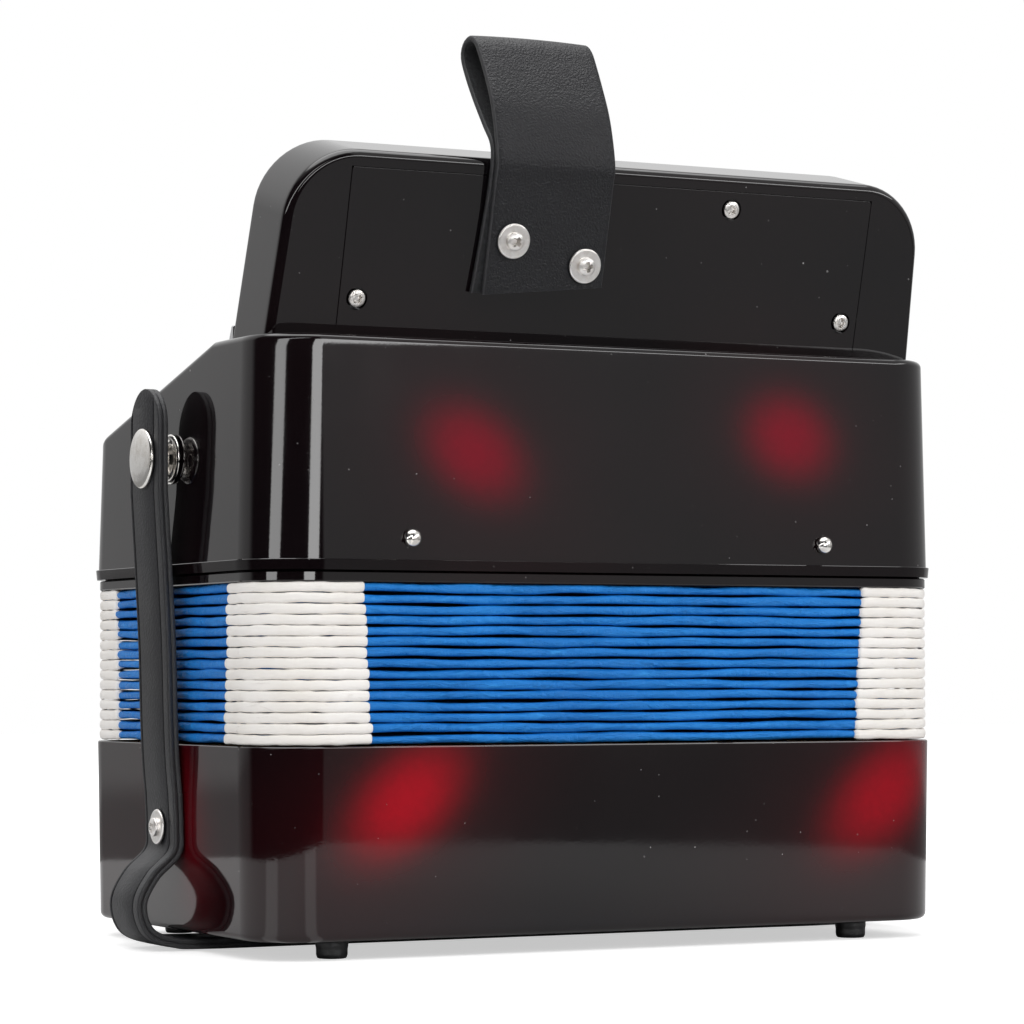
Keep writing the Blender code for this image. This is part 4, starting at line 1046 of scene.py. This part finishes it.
def fold_section(half_height, nose, depth, steps=12):
    """A closed (outward, z) outline of one fold's edge: a rounded nose that thins inwards."""
    points = []
    for i in range(steps + 1):
        t = -1 + 2 * i / steps
        points.append((-nose * abs(t) ** 2.1, half_height * math.sin(t * math.pi / 2)))
    middle = -nose - (depth - nose) * 0.5
    points.append((middle, half_height * 0.72))
    points += [(-depth, half_height * 0.30), (-depth, -half_height * 0.30)]
    points.append((middle, -half_height * 0.72))
    return points


def fold_body(index):
    """The end folds belong to the two ends, and each of the others moves on its own."""
    if index == 1:
        return BASS
    if index == FOLD_COUNT:
        return TREBLE
    return f"bellows_fold_{index:02d}"


def fold_z(index):
    return FOLD_MIDDLE + (index - 1) * FOLD_PITCH


def sweep_track(track, section_at, closed, mesh=None):
    """Sweeps a (outward, z) section along a track; section_at gives it for each station."""
    rows = []
    for station, (x, y, nx, ny) in enumerate(track):
        rows.append([Vector((x + nx * out, y + ny * out, z)) for out, z in section_at(station)])
    return skin(rows, closed_rows=closed, mesh=mesh)


def lengths_along(track):
    """The distance from the start to each point of a track."""
    distances = [0.0]
    for (x0, y0, *_), (x1, y1, *_) in zip(track, track[1:]):
        distances.append(distances[-1] + math.hypot(x1 - x0, y1 - y0))
    return distances


def corner_track(sx, sy, wide, narrow, inset, steps=12, count=7):
    """The track round one corner, from wide along the wide face to narrow along the other."""
    half_x, half_y = CASE_WIDTH / 2 - inset, CASE_DEPTH / 2 - inset
    radius = CORNER_RADIUS - inset
    middle_x, middle_y = half_x - radius, half_y - radius

    def stations(straight):
        """Distances from the cap's end: close over its rounded rim, then even."""
        even = [CAP_RIM + (straight - CAP_RIM) * i / count for i in range(1, count)]
        return [0, 0.0002, 0.0005, CAP_RIM] + even

    straight = wide - CORNER_RADIUS
    track = [(sx * (middle_x - straight + step), sy * half_y, 0, sy) for step in stations(straight)]
    for cos, sin in quarter(steps):
        nx, ny = sx * sin, sy * cos
        track.append((sx * middle_x + nx * radius, sy * middle_y + ny * radius, nx, ny))
    straight = narrow - CORNER_RADIUS
    for step in reversed(stations(straight)):
        track.append((sx * half_x, sy * (middle_y - straight + step), sx, 0))
    return track


def add_corner_cap(mesh, index, sx, sy, wide, narrow):
    """A leather cap round one corner of a fold, thin and drawn in at its two ends."""
    track = corner_track(sx, sy, wide, narrow, FOLD_INSET)
    distances = lengths_along(track)
    total = distances[-1]
    lift = wobble(index + 17 * sx + 29 * sy, total * 2, 0.00016, (2, 5, 9, 15))
    swell = wobble(index + 41 * sx + 53 * sy, total * 2, 0.00011, (3, 7, 13, 21))
    half_height, nose, depth, proud = 0.00116, 0.00075, 0.0030, 0.00030

    def section(station):
        distance = distances[station]
        share = min(min(distance, total - distance) / CAP_RIM, 1.0)
        full = math.sqrt(max(1 - (1 - share) ** 2, 0.0))
        height = (half_height + swell(distance)) * (0.55 + 0.45 * full)
        outward = proud * full - 0.00035 * (1 - full)
        rise = fold_z(index) + lift(distance)
        return [(out + outward, rise + z) for out, z in fold_section(height, nose, depth)]

    sweep_track(track, section, False, mesh)


def make_fold(index):
    """One fold edge: the blue band all round, and a white leather cap on each corner."""
    spacing = 0.0035
    track = bellows_track(FOLD_INSET, spacing)
    distances = lengths_along(track)
    length = distances[-1] + spacing
    lift = wobble(index, length, 0.00034, (2, 4, 7, 11, 23))
    swell = wobble(index + 100, length, 0.00026, (3, 5, 8, 14, 31))
    push = wobble(index + 200, length, 0.00040, (4, 13, 23, 41, 67))
    half_height, nose, depth, drawn_in = 0.00099, 0.00135, 0.0034, 0.0003

    def band(station):
        distance = distances[station]
        outward = push(distance) - drawn_in
        rise = fold_z(index) + lift(distance)
        section = fold_section(half_height + swell(distance), nose, depth)
        return [(out + outward, rise + z) for out, z in section]

    mesh = sweep_track(track, band, True)
    number, body = f"{index:02d}", fold_body(index)
    finish_piece(f"fold_band_{number}", mesh, ["cloth"], body, [f"fold_{number}"], sharp=70)
    chance = random.Random(index + 300)
    spread = (FOLD_COUNT - index) / FOLD_COUNT
    caps = bmesh.new()
    for sx, sy in SQUARE:
        wide = 0.0250 + 0.0020 * spread + chance.uniform(-0.0003, 0.0003)
        narrow = 0.0226 + 0.0014 * spread + chance.uniform(-0.0005, 0.0005)
        add_corner_cap(caps, index, sx, sy, wide, narrow)
    finish_piece(f"fold_corners_{number}", caps, ["white"], body, sharp=70)


def inverse_smoothstep(weight):
    """Where a smoothstep from 0 to 1 reaches this weight, so that a blended leg stays straight."""
    return 0.5 - math.sin(math.asin(1 - 2 * weight) / 3)


def make_valley(index):
    """The folded sheet between one fold and the next, a fixed V between them."""
    low = fold_z(index) + VALLEY_OVERLAP
    high = fold_z(index + 1) - VALLEY_OVERLAP
    start, valley, card, steps = 0.0012, 0.0115, 0.0002, 14
    leg = []
    for i in range(steps + 1):
        share = i / steps
        depth = start + (valley - start) * (1 - abs(2 * share - 1))
        leg.append((-depth, low + (high - low) * inverse_smoothstep(share)))
    section = leg + [(out - card, z) for out, z in reversed(leg)]
    mesh = sweep_track(bellows_track(FOLD_INSET, 0.012, 8), lambda station: section, True)
    # the card look is the fold cloth darkened as painted shade for the gaps
    piece = finish_piece(f"bellows_valley_{index:02d}", mesh, ["card"], None, sharp=80)
    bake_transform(piece)


# ---- straps ----
def strap_section():
    """A closed (across, outward) outline with two stitched grooves and a seam between its plies."""
    half_width, half, edge = STRAP_WIDTH / 2, STRAP_THICKNESS / 2, 0.00035
    groove_half, groove_deep, seam_deep = 0.00034, 0.00045, 0.00025

    def groove(across):
        wide, steep = groove_half * 1.6, groove_half * 0.7
        shallow = half - groove_deep * 0.35
        return [
            (across - wide, half),
            (across - steep, shallow),
            (across, half - groove_deep),
            (across + steep, shallow),
            (across + wide, half),
        ]

    def side(sign):
        """Down the edge from the outer face to the inner face."""
        x = sign * half_width
        upper = [(x - sign * edge, half), (x - sign * edge * 0.3, half - edge * 0.3)]
        upper += [(x, half - edge), (x, 0.00016)]
        lower = [(across, -out) for across, out in reversed(upper)]
        return upper + [(x - sign * seam_deep, 0.0)] + lower

    points = [(2 * edge - half_width, half)]
    points += groove(STRAP_MARGIN_NEAR - half_width)
    points.append((0.0, half + 0.00004))
    points += groove(half_width - STRAP_MARGIN_FAR)
    points.append((half_width - 2 * edge, half))
    points += side(1)
    points += [(half_width * 0.4, -half), (-half_width * 0.4, -half)]
    points += reversed(side(-1))
    return points


def narrowed(points, half_width):
    """Squeezes a strap section into a smaller half width, keeping the shape of its edges."""
    full, rim = STRAP_WIDTH / 2, 0.0006
    made = []
    for across, out in points:
        size = abs(across)
        if size > full - rim:
            size = max(half_width - (full - size), 0.0)
        else:
            size = min(size, max(half_width - rim, 0.0))
        made.append((math.copysign(size, across), out))
    return made


def sweep_strap(path, half_widths, side):
    """Sweeps the strap section along an XZ path; side gives the way its outer face looks."""
    full = STRAP_WIDTH / 2
    edge_band, groove_band, tip_band = 0.0002, 0.00032, 0.001
    lines = (STRAP_MARGIN_NEAR - full, full - STRAP_MARGIN_FAR)
    section = strap_section()
    rows = []
    for i, point in enumerate(path):
        along = (path[min(i + 1, len(path) - 1)] - path[max(i - 1, 0)]).normalized()
        outward = along.cross(Vector((0, 1, 0))).normalized()
        if outward.dot(side(i)) < 0:
            outward = -outward
        row = narrowed(section, half_widths[i])
        rows.append([point + Vector((0, across, 0)) + outward * out for across, out in row])
    mesh = skin(rows)
    for face in mesh.faces:
        centre = face.calc_center_median()
        index = min(range(len(path)), key=lambda i: (path[i] - centre).length_squared)
        across = centre.y - STRAP_Y
        on_line = min(abs(across - line) for line in lines) < groove_band
        outside = (centre - path[index]).dot(side(index)) > 0
        if abs(across) > half_widths[index] - edge_band:
            face.material_index = STRAP_LOOKS.index("edge")
        elif half_widths[index] > full - tip_band and on_line and outside:
            # painted shade: faces in the stitched grooves take the darker groove leather
            face.material_index = STRAP_LOOKS.index("groove")
    return mesh


def case_side_x(z):
    """Half the case's width at a height, on either end's tapered narrow side."""
    if z < BELLOWS_LOW:
        return CASE_WIDTH / 2 - CASE_TAPER * (BELLOWS_LOW - z)
    return CASE_WIDTH / 2 - CASE_TAPER * (z - BELLOWS_TOP)


def in_strap_plane(points):
    """Places given as (x, z) on the middle plane of the straps."""
    return [Vector((x, STRAP_Y, z)) for x, z in points]


def make_hand_strap():
    """One strap from the left screw, down, under the bass end and up to the right screw."""
    middle = STRAP_THICKNESS / 2
    on_case = case_side_x(STRAP_SCREW_Z) + GAP + middle
    under = GAP + middle
    right = [
        (0.0500, under),
        (0.0840, under),
        (0.0925, 0.0021),
        (0.0983, 0.0048),
        (0.1001, 0.0110),
        (0.0970, 0.0172),
        (on_case + 0.0006, 0.0225),
        (on_case + 0.0001, STRAP_SCREW_Z),
        (case_side_x(0.0355) + GAP + middle + 0.0003, STRAP_HINGE_Z - HINGE_GAP),
    ]
    left = [(-x, z) for x, z in reversed(right)]
    path = smooth_path(in_strap_plane(left + right), 12)
    inside = Vector((0, STRAP_Y, 0.02))
    mesh = sweep_strap(path, [STRAP_WIDTH / 2] * len(path), lambda i: path[i] - inside)
    finish_piece("hand_strap_leather", mesh, STRAP_LOOKS, BASS, ["hand_strap"], sharp=60)


def make_bellows_strap(side, label):
    """The free end of the strap, from above the screw up to its rounded tip over the press stud."""
    start_x = case_side_x(0.0365) + GAP + STRAP_THICKNESS / 2 + 0.0003
    half, narrowest = STRAP_WIDTH / 2, 0.0007
    points = [
        (start_x, STRAP_HINGE_Z + HINGE_GAP),
        (0.0922, 0.0430),
        (0.0927, 0.0530),
        (0.0932, 0.0700),
        (0.0941, 0.0870),
        (0.0948, 0.0980),
        (STRAP_TIP_X, 0.1060),
    ]
    path = smooth_path(in_strap_plane(points), 8)
    path += in_strap_plane([(STRAP_TIP_X, z) for z in (0.1090, SNAP_Z, 0.1175)])
    widths = [half] * len(path)
    for cos, sin in quarter(20):
        path += in_strap_plane([(STRAP_TIP_X, STRAP_TOP_Z - half + half * sin)])
        widths.append(max(half * cos, narrowest))
    path = [Vector((p.x * side, p.y, p.z)) for p in path]
    body = f"bellows_strap_{label}"
    mesh = sweep_strap(path, widths, lambda i: Vector((side, 0, 0)))
    finish_piece(f"{body}_leather", mesh, STRAP_LOOKS, body, [body], sharp=60)


def thumb_strap_line():
    """Up the back layer, over the loop and down the front layer, in the plane across the board."""
    half = THUMB_STRAP_THICKNESS / 2
    back = GAP + half
    front = back + THUMB_STRAP_THICKNESS + GAP
    edge = on_board(0, BOARD_HEIGHT, -front)
    rise = [  # (y, z) from where the front layer passes the top of the board
        (0.0024, 0.0036),
        (0.0066, 0.0090),
        (0.0113, 0.0150),
        (0.0155, 0.0212),
        (0.0180, 0.0262),
        (0.0170, 0.0291),
        (0.0141, 0.0301),
        (0.0112, 0.0286),
        (0.0088, 0.0250),
        (0.0058, 0.0195),
        (0.0028, 0.0130),
        (0.0010, 0.0065),
    ]
    flat = (0.0118, 0.0250, 0.0385)
    path = [on_board(0, up, -back) for up in flat]
    path += [Vector((0, edge.y + y, edge.z + z)) for y, z in rise]
    path += [edge] + [on_board(0, up, -front) for up in reversed(flat)]
    return smooth_path(path, 8)


def hill(distance, centre, width):
    """A smooth bump of height 1."""
    return math.exp(-(((distance - centre) / width) ** 2))


def make_thumb_strap():
    """A leather loop: grain side out, suede inside, its front layer cut off at a slant."""
    line = thumb_strap_line()
    distances = [0.0]
    for a, b in zip(line, line[1:]):
        distances.append(distances[-1] + (b - a).length)
    total = distances[-1]
    half_width, half, edge = THUMB_STRAP_WIDTH / 2, THUMB_STRAP_THICKNESS / 2, 0.00035
    rows_along, across_steps = 132, 16
    front_slant, back_slant, back_shift = 0.0015, 0.0016, 0.0022

    def point_at(distance):
        """The place and outward direction of the strap's middle at a distance along it."""
        distance = min(max(distance, 0.0), total)
        index = next(i for i in range(1, len(distances)) if distances[i] >= distance - 1e-9)
        share = (distance - distances[index - 1]) / (distances[index] - distances[index - 1])
        place = line[index - 1].lerp(line[index], share)
        before, after = line[max(index - 2, 0)], line[min(index + 1, len(line) - 1)]
        return place, (after - before).cross(Vector((1, 0, 0))).normalized()

    rows = []
    for i in range(rows_along + 1):
        outer, inner, edges = [], [], []
        for j in range(across_steps + 1):
            u = -1 + 2 * j / across_steps
            start, end = back_slant * (u + 1), total - front_slant * (u + 1)
            distance = start + (end - start) * (i / rows_along)
            place, outward = point_at(distance)
            shift = -back_shift * max(0.0, 1 - distance / (total * 0.36)) ** 2
            bulge = 0.00035 * hill(distance, total * 0.50, 0.010) * (1 - u * u)
            squeeze = 1 - 0.015 * hill(distance, total * 0.62, 0.012)
            x = THUMB_STRAP_X + u * half_width * squeeze + shift
            at = Vector((x, place.y, place.z)) + outward * bulge
            trim = Vector((edge * u, 0, 0)) if abs(u) == 1 else Vector()
            outer.append(at + outward * half - trim)
            inner.append(at - outward * half - trim)
            if abs(u) == 1:
                edges.append([at + outward * (half - edge), at - outward * (half - edge)])
        low_edge, high_edge = edges
        rows.append(outer + high_edge + inner[::-1] + low_edge[::-1])
    mesh = skin(rows)
    first_suede = across_steps + 3
    quads = [face for face in mesh.faces if len(face.verts) == 4]
    for number, face in enumerate(quads):
        place_in_ring = number % len(rows[0])
        if first_suede <= place_in_ring < first_suede + across_steps:
            face.material_index = 2
        elif place_in_ring >= across_steps:
            face.material_index = 1
    looks = ["thumb", "edge", "suede"]
    finish_piece("thumb_strap_leather", mesh, looks, TREBLE, ["thumb_strap"], sharp=50)


# ---- fasteners ----
def dome(radius, height, steps=6):
    """Profile points from the rim of a dome up to its top."""
    return [(radius * cos, height * sin) for cos, sin in quarter(steps)[:-1]] + [(0, height)]


def make_screw_head(node, seat, axis, body, radius, height, turn):
    """A domed head with a cross recess, on a short shank."""
    side, shank, length = height * 0.58, 0.0011, 0.003
    profile = [(0, -length), (shank, -length), (shank, 0), (radius, 0)]
    profile += [(r, side + h) for r, h in dome(radius, height - side, 7)]
    mesh = turned(profile, 36, (0, 0, 0), (0, 0, 1))
    piece = finish_piece(f"{node}_head", mesh, ["satin"], None, sharp=40)
    arm, slot = radius * 0.72, radius * 0.23
    levels = ((arm * 0.45, slot * 0.8, height * 0.02), (arm, slot * 1.1, height * 1.4))
    slots = []
    for turned_levels in (levels, [(wide, long, z) for long, wide, z in levels]):
        rings = [[Vector((x * a, y * b, z)) for x, y in SQUARE] for a, b, z in turned_levels]
        slots.append(skin(rings))
    cut(piece, slots)
    spin = Matrix.Rotation(turn, 4, "Z")
    aim = Vector(axis).to_track_quat("Z", "Y").to_matrix().to_4x4()
    piece.data.transform(Matrix.Translation(seat) @ aim @ spin)
    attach(piece, body)
    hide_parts(node)


def make_washer(name, seat, axis, body):
    """A flat pressed washer, slightly thinner towards its hole and with a softened rim."""
    hole, radius, thick = 0.0013, 0.0041, 0.0008
    profile = [
        (hole, 0),
        (radius, 0),
        (radius, thick * 0.50),
        (radius - 0.0003, thick * 0.80),
        (radius * 0.62, thick * 0.72),
        (hole, thick * 0.70),
        (hole, 0),
    ]
    mesh = turned(rounded(profile, 0.0002, 3), 48, seat, axis)
    finish_piece(name, mesh, ["satin"], body, sharp=40)


def make_bellows_pin(label):
    """A round-headed nail that holds the bellows frame in the treble case's wall."""
    low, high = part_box(f"bellows_pin_{label}")
    centre = (low + high) / 2
    wall = Vector((centre.x, low.y + 0.0022, centre.z))
    radius, shank, side = 0.00205, 0.0012, 0.0005
    profile = [(0, -0.003), (shank, -0.003), (shank, 0), (radius, 0)]
    profile += [(r, side + h) for r, h in dome(radius, 0.0015, 8)]
    mesh = turned(rounded(profile, 0.0001, 2), 36, wall, (0, -1, 0))
    node = f"bellows_pin_{label}"
    finish_piece(f"{node}_head", mesh, ["nickel"], TREBLE, [node])


def make_fasteners():
    """Every screw with its washer, and the two pins."""
    sunk = 0.0004
    seat_x = case_side_x(STRAP_SCREW_Z) + STRAP_THICKNESS + 2 * GAP + 0.0002
    for side, label in SIDES:
        seat, axis = Vector((side * seat_x, STRAP_Y, STRAP_SCREW_Z)), Vector((side, 0, 0))
        make_washer(f"strap_washer_{label}", seat, axis, BASS)
        make_screw_head(f"strap_screw_{label}", seat + axis * sunk, axis, BASS, 0.0022, 0.0015, 0.4)
        make_bellows_pin(label)
    for index, (x, up) in enumerate(COVER_SCREWS, 1):
        seat, node = on_board(x, up, sunk), f"cover_screw_{index}"
        make_screw_head(node, seat, -BOARD_IN, TREBLE, 0.0020, 0.0010, 0.7 * index)
    stack = 2 * THUMB_STRAP_THICKNESS + 3 * GAP
    for index, (x, up) in enumerate(THUMB_SCREWS, 1):
        seat, node = on_board(x, up, -stack), f"thumb_strap_screw_{index}"
        make_washer(f"thumb_strap_washer_{index}", seat, -BOARD_IN, TREBLE)
        seat = seat - BOARD_IN * sunk
        make_screw_head(node, seat, -BOARD_IN, TREBLE, 0.0021, 0.0016, 0.9 * index)


def make_snap(side, label):
    """A press stud: the domed cap and spring ring on the strap, and the stud on the case."""
    centre, axis = (0, STRAP_Y, SNAP_Z), (side, 0, 0)
    radius = 0.0070
    cap = [
        (0, 0),
        (radius - 0.0005, 0),
        (radius, 0.0003),
        (radius, 0.0008),
        (radius - 0.0003, 0.0011),
        (radius * 0.80, 0.00135),
        (radius * 0.55, 0.0016),
        (radius * 0.28, 0.00175),
        (0, 0.0018),
    ]
    ring = [
        (0.0016, 0.0002),
        (0.0056, 0.0002),
        (0.0056, -0.0007),
        (0.0050, -0.0014),
        (0.0040, -0.0017),
        (0.0034, -0.0012),
        (0.0030, -0.0003),
        (0.0016, -0.0002),
        (0.0016, 0.0002),
    ]
    foot = [
        (0, -0.0045),
        (0.0012, -0.0045),
        (0.0012, 0),
        (0.0058, 0),
        (0.0059, 0.0004),
        (0.0054, 0.0009),
        (0.0046, 0.0007),
        (0.0040, 0.0011),
        (0.0026, 0.0014),
        (0.0021, 0.0016),
    ]
    tip = [(0.0023, -0.0004), (0.0020, -0.0002), (0, 0)]
    outer, inner = STRAP_TIP_X + STRAP_THICKNESS / 2, STRAP_TIP_X - STRAP_THICKNESS / 2
    face, tip_x = case_side_x(SNAP_Z) + GAP, inner - 0.0021

    def at(profile, x):
        return [(r, x + h) for r, h in profile]

    mesh = turned(rounded(at(cap, outer), 0.0003, 3), 56, centre, axis)
    turned(rounded(at(ring, inner), 0.0002, 3), 48, centre, axis, mesh)
    body, node = f"bellows_strap_{label}", f"snap_cap_{label}"
    finish_piece(f"{node}_dome", mesh, ["nickel"], body, [node])
    mesh = turned(rounded(at(foot, face) + at(tip, tip_x), 0.0003, 3), 48, centre, axis)
    node = f"snap_stud_{label}"
    finish_piece(f"{node}_post", mesh, ["nickel"], TREBLE, [node])


# ---- keys and feet ----
def button_profile(radius, length):
    """A turned button with a rounded shoulder and a slight dish in its top."""
    shoulder = 0.0016
    top = [(0, 0), (radius * 0.9, 0), (radius, length * 0.12), (radius, length - shoulder)]
    for cos, sin in quarter(6)[1:]:
        top.append((radius - shoulder + shoulder * cos, length - shoulder + shoulder * sin))
    dish = ((0.45, 0.00012), (0.2, 0.00022), (0, 0.00025))
    return top + [(radius * share, length - depth) for share, depth in dish]


def add_lever(mesh, points, half=0.0012, bevel=0.0003):
    """A steel plate across X from a (y, z) outline, with softened edges."""
    plate = skin([[Vector((x, y, z)) for y, z in points] for x in (-half, half)])
    bmesh.ops.recalc_face_normals(plate, faces=plate.faces)
    bmesh.ops.bevel(plate, geom=plate.edges[:], offset=bevel, segments=2, affect="EDGES")
    for face in plate.faces:
        face.material_index = KEY_LOOKS.index("steel")
    copy_into(mesh, plate)


def add_pallet(mesh, half_x, y, half_y, wood, felt):
    """A wooden pallet with a slightly smaller felt face; wood and felt are their low and high z."""
    layers = (("wood", wood, 0.0, 0.0003), ("felt", felt, 0.0002, 0.0002))
    for look, (low, high), less, bevel in layers:
        near = (less - half_x, y - half_y + less, low)
        far = (half_x - less, y + half_y - less, high)
        box_mesh(near, far, mesh, bevel, KEY_LOOKS.index(look))


def place_keys(base, places):
    """Puts a copy of a key's mesh at the x of each named node, and frees the first."""
    for name, x in places:
        mesh = base.copy()
        bmesh.ops.translate(mesh, verts=mesh.verts, vec=(x, 0, 0))
        finish_piece(f"{name}_button", mesh, KEY_LOOKS, name, [name])
    base.free()


def make_treble_keys():
    """Seven keys: pearl button, steel lever and a wooden pallet with a felt face."""
    axle = sum(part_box("treble_key_axle"), Vector()) / 2
    pallet_y, pallet_low = 0.012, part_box("treble_key_1")[0].z
    pallet_high = pallet_low + 0.0028
    top = on_board(0, KEY_BUTTON_UP + 0.003, KEY_ARM_IN)
    arm = 0.0012 * BOARD_IN
    lever = [
        axle + arm * 1.8,
        top + arm,
        top - arm,
        axle - arm * 1.8,
        axle - BOARD_UP * 0.0026,
        Vector((0, pallet_y - 0.006, pallet_high - 0.0002)),
        Vector((0, pallet_y + 0.002, pallet_high - 0.0002)),
        Vector((0, pallet_y + 0.002, pallet_high + 0.0015)),
        Vector((0, pallet_y - 0.004, pallet_high + 0.0022)),
    ]
    base = bmesh.new()
    add_lever(base, [(p.y, p.z) for p in lever])
    profile = button_profile(KEY_BUTTON_RADIUS, BOARD_THICKNESS + 0.0045 - KEY_ARM_IN)
    turned(profile, 40, on_board(0, KEY_BUTTON_UP, KEY_ARM_IN), BOARD_IN, base)
    wood_low = pallet_low + 0.0010
    add_pallet(base, 0.0065, pallet_y, 0.010, (wood_low, pallet_high), (pallet_low, wood_low))
    place_keys(base, [(f"treble_key_{index}", x) for index, x in enumerate(key_xs(), 1)])


def make_bass_keys():
    """Two bass keys and the air key: button, lever and pallet on one axle."""
    axle = sum(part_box("bass_key_axle"), Vector()) / 2
    reach, pallet_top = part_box("bass_key_1")[1].yz
    pallet_y = 0.020
    lever = [
        (axle.y - 0.003, axle.z - 0.003),
        (axle.y + 0.003, axle.z - 0.003),
        (axle.y + 0.0025, BASS_BUTTON_Z + 0.002),
        (axle.y - 0.0005, BASS_BUTTON_Z + 0.002),
        (axle.y - 0.002, axle.z + 0.005),
        (pallet_y + 0.002, pallet_top - 0.0022),
        (pallet_y - 0.002, pallet_top - 0.0022),
        (pallet_y - 0.002, pallet_top - 0.005),
    ]
    base = bmesh.new()
    add_lever(base, lever)
    profile = button_profile(BASS_BUTTON_RADIUS, reach - axle.y)
    turned(profile, 40, (0, axle.y, BASS_BUTTON_Z), (0, 1, 0), base)
    wood_low, felt_low = pallet_top - 0.0025, pallet_top - 0.0009
    add_pallet(base, 0.0055, pallet_y, 0.009, (wood_low, felt_low), (felt_low, pallet_top))
    place_keys(base, [(name, (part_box(name)[0].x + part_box(name)[1].x) / 2) for name in BASS_KEYS])


def make_feet():
    """Four moulded feet: a waisted pad with a shallow hollow under it."""
    for index in range(1, 5):
        low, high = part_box(f"foot_{index}")
        centre = (low + high) / 2
        radius, height = (high.x - low.x) / 2, high.z - low.z
        profile = [
            (0, 0.0003),
            (radius * 0.35, 0.0003),
            (radius * 0.45, 0),
            (radius * 0.88, 0),
            (radius * 0.96, height * 0.2),
            (radius * 0.96, height * 0.55),
            (radius, height * 0.7),
            (radius, height),
            (0, height),
        ]
        mesh = turned(rounded(profile, 0.0004, 4), 40, (centre.x, centre.y, low.z), (0, 0, 1))
        finish_piece(f"foot_{index}_pad", mesh, ["rubber"], BASS, [f"foot_{index}"])


def paint_inner_nodes():
    """Materials for the CAD pieces that are kept: the boards, blocks, frame and axles inside."""
    looks = {"bass_bellows_frame": "wood"}
    for end in ("bass", "treble"):
        looks |= {f"{end}_pallet_board": "wood", f"{end}_reed_block": "wood", f"{end}_key_axle": "steel"}
    for name, look in looks.items():
        nodes[name].data.materials.clear()
        nodes[name].data.materials.append(MATERIALS[look])


def main():
    bpy.context.scene.view_settings.view_transform = "Standard"
    make_camera()
    make_world()
    make_floor()
    make_lights()
    paint_inner_nodes()
    make_bass_shell()
    make_treble_shell()
    make_treble_frame()
    make_fingerboard()
    make_cover()
    make_grille()
    for index in range(1, FOLD_COUNT + 1):
        make_fold(index)
    for index in range(1, FOLD_COUNT):
        make_valley(index)
    make_hand_strap()
    for side, label in SIDES:
        make_bellows_strap(side, label)
    make_thumb_strap()
    make_fasteners()
    for side, label in SIDES:
        make_snap(side, label)
    make_treble_keys()
    make_bass_keys()
    make_feet()


main()
